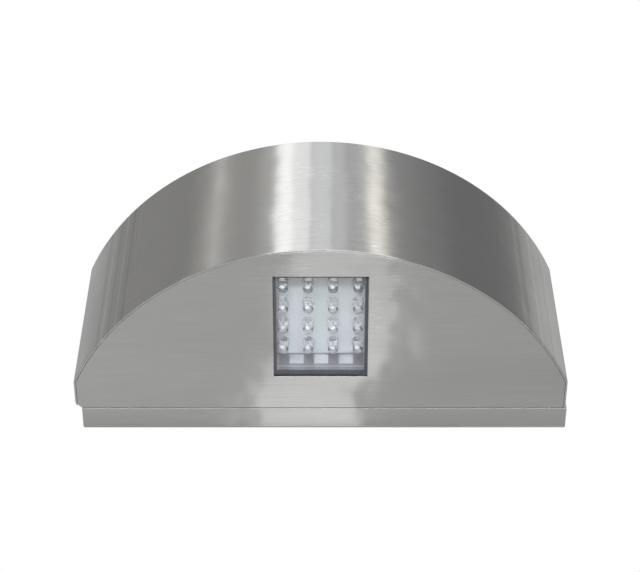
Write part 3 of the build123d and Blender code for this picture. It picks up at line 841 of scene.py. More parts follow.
@dataclass(frozen=True)
class Clear(Finish):
    """Clear glass or plastic that lets the lamps' light through."""

    slot: Slot = Slot.CLEAR_COVER
    colour: Colour = (0.96, 0.985, 0.975)
    roughness: float = 0.02
    density: float = 1.49
    shadow_share: float = 0.92
    cloud_scale: float = 90.0
    haze_rough: float = 0.03
    haze_tint: float = 0.97
    flow_scale: float = 160.0
    flow_depth: float = 0.00001

    def shade(self, skin: Skin) -> Socket:
        """Clear the piece, with faint flow marks.

        Args:
            skin: The material under construction.

        Returns:
            The surface, which casts only a faint shadow.
        """
        tone = skin.effect(Effect.CLOUDS, Scale=self.cloud_scale)["Tone"]
        rough = skin.remap(tone, 0.0, 1.0, self.roughness, self.roughness + self.haze_rough)
        hazy = tuple(c * self.haze_tint for c in self.colour)
        skin.set({"Roughness": rough, "Base Color": skin.tint(tone, self.colour, hazy)})
        skin.set({"Transmission Weight": 1.0, "IOR": self.density})
        skin.relief(skin.noise(skin.place, self.flow_scale, 1.0), self.flow_depth)
        shadow = skin.add("ShaderNodeLightPath").outputs["Is Shadow Ray"]
        through = skin.add("ShaderNodeBsdfTransparent")
        share = skin.times(shadow, self.shadow_share)
        mixed = {0: share, 1: skin.surface, 2: through.outputs[0]}
        return skin.add("ShaderNodeMixShader", mixed).outputs[0]


@dataclass(frozen=True)
class SiliconCell(Finish):
    """Dark blue silicon with printed silver fingers and busbars."""

    slot: Slot = Slot.SOLAR_CELL
    colour: Colour = (0.012, 0.022, 0.085)
    roughness: float = 0.25
    finger_pitch: float = 0.0021
    finger_width: float = 0.00012
    bar_pitch: float = 0.0225
    bar_width: float = 0.0011
    middle_y: float = -0.0612
    grain_scale: float = 260.0
    grain_rough: float = 0.15
    bluer: Colour = (0.02, 0.045, 0.17)
    silver: Colour = (0.62, 0.63, 0.64)
    silver_metal: float = 0.8
    print_height: float = 0.00002

    def shade(self, skin: Skin) -> Socket:
        """Print the cells.

        Args:
            skin: The material under construction.

        Returns:
            The surface.
        """
        at = skin.split(skin.place)
        grains = {"Vector": skin.place, "Scale": self.grain_scale}
        facet = skin.split(skin.add("ShaderNodeTexVoronoi", grains).outputs["Color"])["X"]
        silicon = skin.tint(facet, self.colour, self.bluer)

        def ruled(value: object, pitch: float, width: float) -> Socket:
            return skin.sum("LESS_THAN", skin.sum("PINGPONG", value, pitch / 2), width / 2)

        fingers = ruled(skin.minus(at["Y"], self.middle_y), self.finger_pitch, self.finger_width)
        across = skin.minus(at["Y"], self.middle_y - self.bar_pitch / 2.0)
        bars = ruled(across, self.bar_pitch, self.bar_width)
        printed = skin.sum("MAXIMUM", fingers, bars)
        metal = skin.times(printed, self.silver_metal)
        skin.set({"Base Color": skin.tint(printed, silicon, self.silver), "Metallic": metal})
        rough = skin.sum("MULTIPLY_ADD", facet, self.grain_rough, self.roughness)
        skin.set({"Roughness": rough})
        skin.relief(printed, self.print_height)
        return skin.surface


@dataclass(frozen=True)
class Sleeve(Finish):
    """Shrink sleeve on a can whose two metal ends are bare."""

    slot: Slot = Slot.BATTERY_SLEEVE
    colour: Colour = (0.06, 0.26, 0.14)
    roughness: float = 0.25
    middle: float = -0.012
    half_length: float = 0.0235
    axis: str = "X"
    metal: Colour = (0.7, 0.7, 0.68)
    darker: float = 0.15
    cloud_scale: float = 90.0
    rougher: float = 0.1
    wrinkle_scale: float = 700.0
    wrinkle_depth: float = 0.00002
    coat: float = 0.3

    def shade(self, skin: Skin) -> Socket:
        """Shrink the sleeve on.

        Args:
            skin: The material under construction.

        Returns:
            The surface.
        """
        colour = self.uneven(skin, self.darker, self.cloud_scale, self.rougher)
        along = skin.split(skin.place)[self.axis]
        reach = skin.sum("ABSOLUTE", skin.minus(along, self.middle))
        bare = skin.sum("GREATER_THAN", reach, self.half_length)
        skin.set({"Base Color": skin.tint(bare, colour, self.metal), "Metallic": bare})
        wrinkles = skin.noise(skin.place, self.wrinkle_scale)
        skin.relief(wrinkles, self.wrinkle_depth)
        skin.set({"Coat Weight": self.coat})
        return skin.surface


# The band gets painted reflection streaks near its two ends.
COVER_STEEL = BrushedSteel("cover_steel", painted_streaks=0.6)
PLATE_STEEL = BrushedSteel("plate_steel", twist=0.0184)
TRAY_STEEL = BrushedSteel("tray_steel", crown=8.0)
MILL_STEEL = PlainMetal("mill_steel", Slot.INNER_STEEL, (0.50, 0.50, 0.49), 0.38, speckle=180.0)
ZINC = PlainMetal("zinc_plate")
TIN = PlainMetal("tin_plate", Slot.TINNED_METAL, (0.74, 0.74, 0.72), 0.2, speckle=800.0)
SILVERED = PlainMetal(
    "silvered_frame", Slot.TINNED_METAL, (0.93, 0.93, 0.96), 0.3, (0.95, 0.95, 0.95), 900.0, 0.00004, 0.15
)
COPPER = PlainMetal("enamelled_copper", Slot.COIL_FERRITE, (0.72, 0.30, 0.14), 0.25, (0.8, 0.4, 0.2))
RUBBER = Rubber("foam_rubber")
BLACK_PLASTIC = MouldedPlastic("black_moulding")
KNOB_PLASTIC = MouldedPlastic(
    "knob_plastic", Slot.SWITCH_PLASTIC, (0.07, 0.07, 0.074), 0.4, pebble_depth=0.00001
)
CHIP = MouldedPlastic(
    "chip_epoxy", Slot.CHIP_BLACK, (0.025, 0.025, 0.025), 0.6, (0.06, 0.06, 0.06), pebble_scale=5000.0
)
FERRITE = MouldedPlastic(
    "coil_core", Slot.COIL_FERRITE, (0.10, 0.10, 0.105), 0.6, (0.2, 0.2, 0.2), pebble_scale=4000.0
)
WHITE_WIRE = MouldedPlastic(
    "white_sleeving", Slot.WIRE_WHITE, (0.74, 0.74, 0.71), 0.35, (0.8, 0.8, 0.78), pebble_depth=0.000008
)
RED_WIRE = MouldedPlastic(
    "red_sleeving", Slot.WIRE_RED, (0.45, 0.025, 0.02), 0.35, (0.5, 0.05, 0.04), pebble_depth=0.000008
)
LAMINATE = MouldedPlastic(
    "white_laminate", Slot.PANEL_BOARD, (0.72, 0.73, 0.71), 0.5, (0.8, 0.8, 0.78), pebble_depth=0.00001
)
GLOSS_BOX = GlossBox("glossy_box")
LAMP_MASK = BoardMask("pale_board")
CONTROL_MASK = BoardMask("green_board", Slot.CONTROL_BOARD, (0.02, 0.17, 0.07), 0.35)
LENS = Clear("cover_pane")
EPOXY = Clear("lamp_epoxy", Slot.LED_EPOXY, (0.94, 0.93, 0.975), 0.015, 1.5, 0.72)
PANEL_GLASS = Clear("panel_glass", Slot.PANEL_COVER, (0.95, 0.98, 0.97), 0.04, 1.5, 0.92)
SILICON = SiliconCell("blue_silicon")
BATTERY = Sleeve("battery_wrap")
CAPACITOR = Sleeve("capacitor_wrap", Slot.CAPACITOR_SLEEVE, (0.03, 0.035, 0.09), 0.3, -0.034, 0.0034, "Y")


# ---- Making pieces ----


def new_object(name: str, mesh: bpy.types.Mesh) -> Piece:
    """Put a mesh into the scene at the origin.

    Args:
        name: The object's name.
        mesh: Its mesh.

    Returns:
        The new object.
    """
    piece = bpy.data.objects.new(name, mesh)
    bpy.context.scene.collection.objects.link(piece)
    return piece


def freeze(piece: Piece) -> None:
    """Turn what the modifiers make into the piece's own mesh.

    Args:
        piece: The object with modifiers.
    """
    evaluated = piece.evaluated_get(bpy.context.evaluated_depsgraph_get())
    mesh = bpy.data.meshes.new_from_object(evaluated)
    piece.modifiers.clear()
    piece.data = mesh
    mesh.name = piece.name


def weigh_normals(piece: Piece) -> None:
    """Let large faces keep flat normals beside rounded edges.

    Args:
        piece: The object.
    """
    modifier = piece.modifiers.new("normals", "WEIGHTED_NORMAL")
    modifier.keep_sharp = True
    freeze(piece)


def rounded_copy(node: str, name: str, radius: float, segments: int = 2) -> Piece:
    """Copy a CAD node and round its sharp edges.

    Args:
        node: The CAD node.
        name: Name of the copy.
        radius: Width of the rounding.
        segments: Facets of each rounding.

    Returns:
        The rounded piece.
    """
    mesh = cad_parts[node].data.copy()
    if "custom_normal" in mesh.attributes:
        mesh.attributes.remove(mesh.attributes["custom_normal"])
    work = bmesh.new()
    work.from_mesh(mesh)
    bmesh.ops.remove_doubles(work, verts=work.verts, dist=MERGE_DISTANCE)
    bmesh.ops.dissolve_limit(work, angle_limit=FLAT_ANGLE, verts=work.verts, edges=work.edges)
    for face in work.faces:
        face.smooth = True
    work.to_mesh(mesh)
    work.free()
    piece = new_object(name, mesh)
    bevel = piece.modifiers.new("rounding", "BEVEL")
    bevel.width = radius
    bevel.segments = segments
    bevel.limit_method = "ANGLE"
    bevel.angle_limit = EDGE_ANGLE
    weigh_normals(piece)
    return piece


def lay_grain(piece: Piece, rule: Callable[[Vector, Vector], tuple[float, float]]) -> None:
    """Give a piece the map that its brushed grain follows.

    Args:
        piece: The object.
        rule: Works out the place on the map from a point and its face's normal.
    """
    mesh = piece.data
    layer = mesh.uv_layers.get(GRAIN_MAP) or mesh.uv_layers.new(name=GRAIN_MAP)
    for polygon in mesh.polygons:
        for corner in polygon.loop_indices:
            point = mesh.vertices[mesh.loops[corner].vertex_index].co
            layer.data[corner].uv = rule(point, polygon.normal)


def flat_grain(point: Vector, normal: Vector) -> tuple[float, float]:
    """Grain along X on every face, or along Y on the faces at the two sides."""
    if abs(normal.x) > SIDE_FACING:
        return point.y, point.z
    return point.x, point.y + point.z


def settle(
    piece: Piece, finish: Finish, body: Body = Body.LIGHT, stands_for: Sequence[str] = ()
) -> Piece:
    """Finish a piece and put it on its body.

    Args:
        piece: The object.
        finish: Its finish.
        body: The body that carries it.
        stands_for: CAD nodes that it replaces.

    Returns:
        The same object.
    """
    piece.data.materials.clear()
    piece.data.materials.append(finish.material())
    if stands_for:
        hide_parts(*stands_for)
    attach(piece, body.value)
    log.info("%s: %d faces on %s", piece.name, len(piece.data.polygons), body.value)
    return piece


def dress(finish: Finish, *nodes: str) -> None:
    """Finish CAD nodes that stay as they are.

    Args:
        finish: Their finish.
        nodes: The nodes.
    """
    for node in nodes:
        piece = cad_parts[node]
        if not piece.material_slots:
            piece.data.materials.append(None)
        for place in piece.material_slots:
            place.material = finish.material()
        log.info("%s: %s", node, finish.slot.value)


class Growth:
    """A Geometry Nodes tree with named sizes, grown into a plain mesh."""

    def __init__(self, name: str, finish: Finish, **sizes: float | int | Vector) -> None:
        """Start the tree.

        Args:
            name: Name of the tree and of the piece.
            finish: The piece's finish.
            sizes: The tree's named inputs, a whole number for each count.
        """
        self.name = name
        self.finish = finish
        self.sizes = sizes
        tree = bpy.data.node_groups.new(name, "GeometryNodeTree")
        tree.is_modifier = True
        tree.interface.new_socket("Geometry", in_out="INPUT", socket_type="NodeSocketGeometry")
        kinds = {int: "NodeSocketInt", float: "NodeSocketFloat", Vector: "NodeSocketVector"}
        for title, value in sizes.items():
            tree.interface.new_socket(title, in_out="INPUT", socket_type=kinds[type(value)])
        tree.interface.new_socket("Finish", in_out="INPUT", socket_type="NodeSocketMaterial")
        tree.interface.new_socket("Geometry", in_out="OUTPUT", socket_type="NodeSocketGeometry")
        self.graph = Graph(tree)
        self.given = self.graph.add("NodeGroupInput").outputs

    def block(self, size: object, place: object) -> Socket:
        """A block.

        Args:
            size: Its three sizes.
            place: Its middle.

        Returns:
            The block's geometry.
        """
        cube = self.graph.add("GeometryNodeMeshCube", {"Size": size}).outputs["Mesh"]
        return self.moved(cube, place)

    def moved(self, shape: object, place: object) -> Socket:
        """Move a shape.

        Args:
            shape: The geometry.
            place: How far.

        Returns:
            The moved geometry.
        """
        inputs = {"Geometry": shape, "Translation": place}
        return self.graph.add("GeometryNodeTransform", inputs).outputs[0]

    def joined(self, *shapes: Socket) -> Socket:
        """Join shapes.

        Args:
            shapes: The geometries.

        Returns:
            All of them as one.
        """
        node = self.graph.add("GeometryNodeJoinGeometry")
        for shape in shapes:
            self.graph.tree.links.new(shape, node.inputs[0])
        return node.outputs[0]

    def repeated(self, points: object, shape: object) -> Socket:
        """Repeat a shape on points.

        Args:
            points: The points.
            shape: The shape.

        Returns:
            The instances.
        """
        inputs = {"Points": points, "Instance": shape}
        return self.graph.add("GeometryNodeInstanceOnPoints", inputs).outputs[0]

    def grow(self, result: Socket, base: bpy.types.Mesh | None = None) -> Piece:
        """Close the tree and turn its result into a plain mesh.

        Args:
            result: The geometry that the tree makes.
            base: The mesh that it starts from, if it needs one.

        Returns:
            The finished object.
        """
        graph = self.graph
        real = graph.add("GeometryNodeRealizeInstances", {0: result}).outputs[0]
        painted = graph.add("GeometryNodeSetMaterial", {"Geometry": real, "Material": self.given["Finish"]})
        graph.add("NodeGroupOutput", {0: painted.outputs[0]})
        piece = new_object(self.name, base or bpy.data.meshes.new(self.name))
        modifier = piece.modifiers.new(self.name, "NODES")
        modifier.node_group = graph.tree
        values = {**self.sizes, "Finish": self.finish.material()}
        for item in graph.tree.interface.items_tree:
            if item.in_out == "INPUT" and item.name in values:
                modifier[item.identifier] = values[item.name]
        freeze(piece)
        return piece


# ---- Sub-assemblies ----


@dataclass
class SteelCover:
    """The half-round cover: curved band, window plate and top plate."""

    sheet: float = 1.0 * MM
    edge_radius: float = 0.35 * MM
    edge_steps: int = 3
    path_step: float = 2.0 * MM
    finer: int = 3
    ring_step: float = 3.0 * MM
    wave_depth: float = 0.07 * MM
    wave_size: float = 26.0
    wave_seed: float = 3.0
    arc_rise: float = 78.0 * MM
    corner_radius: float = 4.0 * MM
    tip: float = 0.08 * MM

    def __post_init__(self) -> None:
        """Read the band's sizes from the frame."""
        low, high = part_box("curved_band")
        self.low, self.high = low, high
        self.middle_x = (low.x + high.x) / 2
        self.half_width = (high.x - low.x) / 2
        self.chord_y = low.y + self.arc_rise
        self.arc_radius = (self.half_width**2 + self.arc_rise**2) / (2 * self.arc_rise)
        self.centre_y = low.y + self.arc_radius

    def band_path(self) -> bpy.types.Mesh:
        """The middle line of the band's sheet, from its right end round to its left end.

        Returns:
            A chain of edges.
        """
        inset = self.sheet / 2
        half = self.half_width - inset
        radius = self.arc_radius - inset
        turn = math.asin(half / radius)
        corner_y = self.centre_y - radius * math.cos(turn)
        back = self.high.y
        left_back = back - self.corner_radius + self.cut_depth(self.sheet - self.tip)
        side_steps = round((back - corner_y) / self.path_step)
        arc_steps = round(2 * turn * radius / self.path_step)
        plan = [(half, back + (corner_y - back) * i / side_steps) for i in range(side_steps)]
        for i in range(arc_steps + 1):
            angle = turn - 2 * turn * i / arc_steps
            plan.append((radius * math.sin(angle), self.centre_y - radius * math.cos(angle)))
        side_steps *= self.finer
        side = left_back - corner_y
        plan += [(-half, corner_y + side * (i + 1) / side_steps) for i in range(side_steps)]
        level = (self.low.z + self.high.z) / 2
        points = [(self.middle_x + x, y, level) for x, y in plan]
        mesh = bpy.data.meshes.new("band_path")
        mesh.from_pydata(points, [(i, i + 1) for i in range(len(points) - 1)], [])
        return mesh

    def band(self) -> None:
        """Sweep the band's section along its path and let the sheet wave a little."""
        sizes = {
            "Sheet": self.sheet,
            "Height": self.high.z - self.low.z,
            "Edge Radius": self.edge_radius,
            "Step": self.ring_step,
            "Wave Depth": self.wave_depth,
            "Wave Size": self.wave_size,
            "Seed": self.wave_seed,
        }
        growth = Growth("steel_band", COVER_STEEL, **sizes)
        graph = growth.graph
        section = self.section(growth)
        path = graph.add("GeometryNodeMeshToCurve", {"Mesh": growth.given["Geometry"]}).outputs[0]
        upright = graph.add("GeometryNodeSetCurveNormal", {"Curve": path}, mode="Z_UP").outputs[0]
        run = graph.add("GeometryNodeSplineParameter").outputs["Length"]
        measured = capture(graph, upright, run)
        inputs = {"Curve": measured.outputs[0], "Profile Curve": section.outputs[0], "Fill Caps": True}
        waved = self.waved(growth, graph.add("GeometryNodeCurveToMesh", inputs).outputs[0])
        lie = graph.combine(X=measured.outputs[1], Y=section.outputs[1])
        store = {"Geometry": waved, "Name": GRAIN_MAP, "Value": lie}
        store_node = "GeometryNodeStoreNamedAttribute"
        mapped = graph.add(store_node, store, data_type="FLOAT2", domain="CORNER").outputs[0]
        smooth = graph.add("GeometryNodeSetShadeSmooth", {"Geometry": mapped}).outputs[0]
        piece = growth.grow(smooth, self.band_path())
        self.snip_corner(piece)
        weigh_normals(piece)
        settle(piece, COVER_STEEL, stands_for=("curved_band",))

    def section(self, growth: Growth) -> Node:
        """The band's section: a thin rounded strip, cut into rings so that it can wave.

        Args:
            growth: The tree.

        Returns:
            The node with the outline first and the height on it second.
        """
        graph, given = growth.graph, growth.given
        box = {"Width": given["Sheet"], "Height": given["Height"]}
        outline = graph.add("GeometryNodeCurvePrimitiveQuadrilateral", box).outputs[0]
        round_off = {"Curve": outline, "Radius": given["Edge Radius"], "Count": self.edge_steps}
        strip = graph.add("GeometryNodeFilletCurve", round_off, mode="POLY").outputs[0]
        position = graph.add("GeometryNodeInputPosition").outputs[0]
        following = graph.add("GeometryNodeOffsetPointInCurve", {"Offset": 1}).outputs["Point Index"]
        next_point = {"Index": following, "Value": position}
        after = graph.add("GeometryNodeFieldAtIndex", next_point, data_type="FLOAT_VECTOR").outputs[0]
        gap = graph.vector_sum("DISTANCE", position, after)
        cuts = graph.sum("FLOOR", graph.sum("DIVIDE", gap, given["Step"]))
        divided = graph.add("GeometryNodeSubdivideCurve", {"Curve": strip, "Cuts": cuts}).outputs[0]
        return capture(graph, divided, graph.split(position)["Y"])

    def waved(self, growth: Growth, swept: Socket) -> Socket:
        """Press the sheet slightly inwards, by different amounts along it.

        Args:
            growth: The tree.
            swept: The plain band.

        Returns:
            The waved band.
        """
        graph, given = growth.graph, growth.given
        position = graph.add("GeometryNodeInputPosition").outputs[0]
        where = graph.vector_sum("SCALE", position, given["Wave Size"])
        pattern = {"Vector": where, "W": given["Seed"], "Scale": 1.0, "Detail": 1.0}
        wave = graph.add("ShaderNodeTexNoise", pattern, noise_dimensions="4D").outputs["Fac"]
        inward = graph.times(graph.times(wave, -1.0), given["Wave Depth"])
        outwards = graph.vector_sum("SUBTRACT", position, (self.middle_x, self.centre_y, 0.0))
        level_out = graph.vector_sum("MULTIPLY", outwards, (1.0, 1.0, 0.0))
        shift = graph.vector_sum("SCALE", graph.vector_sum("NORMALIZE", level_out), inward)
        return graph.add("GeometryNodeSetPosition", {"Geometry": swept, "Offset": shift}).outputs[0]

    def cut_depth(self, side: float) -> float:
        """How far past its start the rounded corner has cut this much off the side.

        Args:
            side: Length that is cut off.

        Returns:
            The distance along the side.
        """
        return math.sqrt(self.corner_radius**2 - (self.corner_radius - side) ** 2)

    def snip_corner(self, piece: Piece) -> None:
        """Round the band's left end, as its plates are rounded there.

        Args:
            piece: The band.
        """
        radius = self.corner_radius
        for vertex in piece.data.vertices:
            depth = vertex.co.y - (self.high.y - radius)
            if vertex.co.x < self.middle_x and depth > 0:
                cut = radius - math.sqrt(max(0.0, radius**2 - depth**2))
                vertex.co.x = max(vertex.co.x, self.low.x + min(cut, self.sheet - self.tip))

    def plates(self) -> None:
        """Round the edges of the two plates and lay their grain from side to side."""
        for node, name in (("window_plate", "window_sheet"), ("top_plate", "top_sheet")):
            piece = rounded_copy(node, name, self.edge_radius)
            lay_grain(piece, flat_grain)
            settle(piece, PLATE_STEEL, stands_for=(node,))

    def build(self) -> None:
        """Make the cover and finish its screws and nuts."""
        self.band()
        self.plates()
        dress(ZINC, "cover_screws", "cover_nuts", "weld_studs", "stud_nuts")


def capture(graph: Graph, geometry: Socket, value: Socket) -> Node:
    """Keep a value on the points of a curve.

    Args:
        graph: The tree.
        geometry: The curve.
        value: The number to keep.

    Returns:
        The node, with the geometry first and the kept value second.
    """
    node = graph.add("GeometryNodeCaptureAttribute", {0: geometry})
    node.capture_items.new("FLOAT", "Value")
    graph.fill(node, {1: value})
    return node


@dataclass
class FenceTray:
    """The tray on the fence side and the frame that the cover slides over."""

    edge_radius: float = 0.2 * MM

    def build(self) -> None:
        """Round the tray's edges and finish the frame."""
        piece = rounded_copy("back_tray", "tray_shell", self.edge_radius)
        lay_grain(piece, flat_grain)
        settle(piece, TRAY_STEEL, stands_for=("back_tray",))
        dress(MILL_STEEL, "locating_frame")


@dataclass
class LampUnit:
    """The lamps behind the window, with their box, board and cover."""

    rows: int = 4
    pitch: float = 12.0 * MM
    lead_spacing: float = 2.54 * MM
    lead_side: float = 0.5 * MM
    flag_width: float = 1.0 * MM
    flag_top: float = 1.8 * MM
    flag_gap: float = 0.25 * MM
    cup_depth: float = 4.6 * MM
    cup_radius: float = 0.7 * MM
    cup_height: float = 0.8 * MM
    lean: float = math.radians(9)
    lean_seed: int = 5
    cup_sides: int = 20
    cup_taper: float = 0.7
    bowl_share: float = 0.72
    bowl_depth: float = 0.25 * MM
    joint_radius: float = 0.85 * MM
    joint_tip: float = 0.3 * MM
    joint_height: float = 0.9 * MM
    joint_sides: int = 14
    joint_rings: int = 3

    def __post_init__(self) -> None:
        """Read where the lamps stand."""
        low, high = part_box("leds")
        self.middle = Vector(((low.x + high.x) / 2, (low.y + high.y) / 2, high.z))
        self.board_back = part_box("led_board")[1].z

    def grid(self, growth: Growth) -> Socket:
        """Points in rows and columns, one for each lamp.

        Args:
            growth: The tree, with the inputs Rows and Pitch.

        Returns:
            The points.
        """
        graph, rows = growth.graph, growth.given["Rows"]
        reach = graph.times(graph.minus(rows, 1.0), growth.given["Pitch"])
        inputs = {"Size X": reach, "Size Y": reach, "Vertices X": rows, "Vertices Y": rows}
        return graph.add("GeometryNodeMeshGrid", inputs).outputs["Mesh"]

    def lead_frames(self) -> None:
        """The two metal posts inside every lamp, one with the cup that holds its chip."""
        sizes = {"Rows": self.rows, "Pitch": self.pitch}
        sizes.update({"Cup Radius": self.cup_radius, "Lean": self.lean, "Seed": self.lean_seed})
        growth = Growth("lamp_frames", SILVERED, **sizes)
        graph, given = growth.graph, growth.given
        frame_shape = growth.joined(*self.posts(growth), *self.cup(growth))
        stand = {"Points": self.grid(growth), "Instance": frame_shape}
        spread = {"Min": graph.times(given["Lean"], -1.0), "Max": given["Lean"], "Seed": given["Seed"]}
        angle = graph.add("FunctionNodeRandomValue", data_type="FLOAT")
        live = {socket.name: number for number, socket in enumerate(angle.inputs) if socket.enabled}
        graph.fill(angle, {live[name]: value for name, value in spread.items()})
        turn = graph.combine(Z=angle.outputs["Value"])
        frames = graph.add("GeometryNodeInstanceOnPoints", {**stand, "Rotation": turn}).outputs[0]
        settle(growth.grow(growth.moved(frames, self.middle)), SILVERED)

    def posts(self, growth: Growth) -> list[Socket]:
        """A lamp's two posts, each with its wider flag.

        Args:
            growth: The tree.

        Returns:
            The four blocks.
        """
        half = self.lead_spacing / 2
        side, top, depth = self.lead_side, self.flag_top, self.cup_depth
        flag = (self.flag_width, side, depth - top)
        flag_x = (self.flag_gap + self.flag_width) / 2
        level = -(top + depth) / 2
        leads = [growth.block((side, side, top), (x, 0.0, -top / 2)) for x in (-half, half)]
        return leads + [growth.block(flag, (x, 0.0, level)) for x in (-flag_x, flag_x)]

    def cup(self, growth: Growth) -> list[Socket]:
        """The open cup that holds a lamp's chip, and the floor of the cup.

        Args:
            growth: The tree, with the input Cup Radius.

        Returns:
            The two shapes.
        """
        graph, radius = growth.graph, growth.given["Cup Radius"]
        cone = {"Vertices": self.cup_sides, "Radius Top": graph.times(radius, self.cup_taper)}
        cone.update({"Radius Bottom": radius, "Depth": self.cup_height})
        wall = graph.add("GeometryNodeMeshCone", cone, fill_type="NONE").outputs["Mesh"]
        disc = {"Vertices": self.cup_sides, "Radius": graph.times(radius, self.bowl_share)}
        disc["Depth"] = self.bowl_depth
        bowl = graph.add("GeometryNodeMeshCylinder", disc).outputs["Mesh"]
        wall_place = (-self.flag_gap, 0.0, -self.cup_depth - self.cup_height)
        return [growth.moved(wall, wall_place), growth.moved(bowl, (-self.flag_gap, 0.0, -self.cup_depth))]

    def solder(self) -> None:
        """A small cone of solder round every lead, on the hidden side of the board."""
        sizes = {"Rows": self.rows, "Pitch": self.pitch}
        sizes.update({"Radius": self.joint_radius, "Height": self.joint_height})
        growth = Growth("lamp_solder", TIN, **sizes)
        graph, given = growth.graph, growth.given
        cone = {"Vertices": self.joint_sides, "Side Segments": self.joint_rings}
        cone.update({"Radius Bottom": given["Radius"], "Depth": given["Height"]})
        cone["Radius Top"] = self.joint_tip
        joint = graph.add("GeometryNodeMeshCone", cone).outputs["Mesh"]
        half = self.lead_spacing / 2
        pair = growth.joined(growth.moved(joint, (half, 0.0, 0.0)), growth.moved(joint, (-half, 0.0, 0.0)))
        joints = growth.repeated(self.grid(growth), pair)
        place = Vector((self.middle.x, self.middle.y, self.board_back))
        settle(growth.grow(growth.moved(joints, place)), TIN)

    def build(self) -> None:
        """Finish the lamp's parts and add what the frame leaves out."""
        dress(RUBBER, "window_gasket")
        dress(LENS, "window_lens")
        dress(GLOSS_BOX, "lamp_box")
        dress(LAMP_MASK, "led_board")
        dress(EPOXY, "leds")
        dress(TIN, "led_leads")
        dress(CHIP, "led_resistors")
        dress(ZINC, "board_screws")
        self.lead_frames()
        self.solder()


@dataclass
class SolarPanel:
    """The panel under the top's opening."""

    cells: int = 8
    cell_gap: float = 1.0 * MM
    link_width: float = 1.2 * MM
    link_height: float = 0.12 * MM
    bar_pitch: float = 22.5 * MM

    def links(self) -> None:
        """The ribbons that join each cell to the next."""
        low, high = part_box("solar_cells")
        pitch = (high.x - low.x + self.cell_gap) / self.cells
        sizes = {"Links": self.cells - 1, "Pitch": pitch, "Width": self.link_width}
        growth = Growth("cell_links", TIN, **sizes)
        graph, given = growth.graph, growth.given
        size = graph.combine(X=self.cell_gap, Y=given["Width"], Z=self.link_height)
        block = growth.block(size, (0.0, 0.0, self.link_height / 2))
        step = graph.combine(X=given["Pitch"])
        line = graph.add("GeometryNodeMeshLine", {"Count": given["Links"], "Offset": step}).outputs[0]
        row = growth.repeated(line, block)
        near = growth.moved(row, (0.0, -self.bar_pitch / 2, 0.0))
        far = growth.moved(row, (0.0, self.bar_pitch / 2, 0.0))
        place = Vector((low.x + pitch - self.cell_gap / 2, (low.y + high.y) / 2, low.z))
        settle(growth.grow(growth.moved(growth.joined(near, far), place)), TIN)

    def build(self) -> None:
        """Finish the panel's layers and join its cells."""
        dress(RUBBER, "panel_seal")
        dress(PANEL_GLASS, "panel_glass")
        dress(SILICON, "solar_cells")
        dress(LAMINATE, "panel_backing")
        dress(BLACK_PLASTIC, "panel_holder")
        self.links()


@dataclass
class ServiceInsert:
    """The insert in the tray's back, with the battery tub, its door and the switch."""

    edge_radius: float = 0.15 * MM
    ribs: int = 5
    rib_pitch: float = 1.1 * MM
    rib_drop: float = 6.5 * MM
    rib_size: Vector = field(default_factory=lambda: Vector((14.0, 0.15, 0.5)) * MM)
    ridges: int = 3
    ridge_pitch: float = 1.0 * MM
    ridge_size: Vector = field(default_factory=lambda: Vector((0.4, 0.25, 2.4)) * MM)

    def row(
        self, name: str, finish: Finish, count: int, step: Vector, size: Vector, start: Vector
    ) -> Piece:
        """A row of small raised bars.

        Args:
            name: The piece's name.
            finish: Its finish.
            count: How many bars.
            step: From one bar to the next.
            size: One bar's size.
            start: The first bar's middle.

        Returns:
            The bars as one piece.
        """
        growth = Growth(name, finish, Count=count, Step=step, Size=size)
        bar = growth.block(growth.given["Size"], (0.0, 0.0, 0.0))
        line = {"Count": growth.given["Count"], "Offset": growth.given["Step"]}
        points = growth.graph.add("GeometryNodeMeshLine", line).outputs[0]
        return growth.grow(growth.moved(growth.repeated(points, bar), start))

    def door(self) -> None:
        """The battery door with its grip ribs."""
        low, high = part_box("battery_door")
        piece = rounded_copy("battery_door", "door_panel", self.edge_radius)
        settle(piece, BLACK_PLASTIC, Body.DOOR, ("battery_door",))
        start = Vector(((low.x + high.x) / 2, high.y, high.z - self.rib_drop))
        step = Vector((0.0, 0.0, -self.rib_pitch))
        ribs = self.row("door_ribs", BLACK_PLASTIC, self.ribs, step, self.rib_size, start)
        settle(ribs, BLACK_PLASTIC, Body.DOOR)

    def slider(self) -> None:
        """The switch's knob with its ridges."""
        low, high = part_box("switch_slider")
        piece = rounded_copy("switch_slider", "switch_knob", self.edge_radius)
        settle(piece, KNOB_PLASTIC, Body.SLIDER, ("switch_slider",))
        middle = (low.x + high.x) / 2
        start = Vector((middle - self.ridge_pitch * (self.ridges - 1) / 2, high.y, 0.0))
        step = Vector((self.ridge_pitch, 0.0, 0.0))
        ridges = self.row("knob_ridges", KNOB_PLASTIC, self.ridges, step, self.ridge_size, start)
        settle(ridges, KNOB_PLASTIC, Body.SLIDER)

    def build(self) -> None:
        """Make the insert's pieces."""
        insert = rounded_copy("service_insert", "insert_shell", self.edge_radius)
        settle(insert, BLACK_PLASTIC, stands_for=("service_insert",))
        self.door()
        self.slider()
        dress(RUBBER, "door_seal")
        dress(BATTERY, "batteries")
        dress(TIN, "battery_contacts", "switch_can", "switch_terminals")


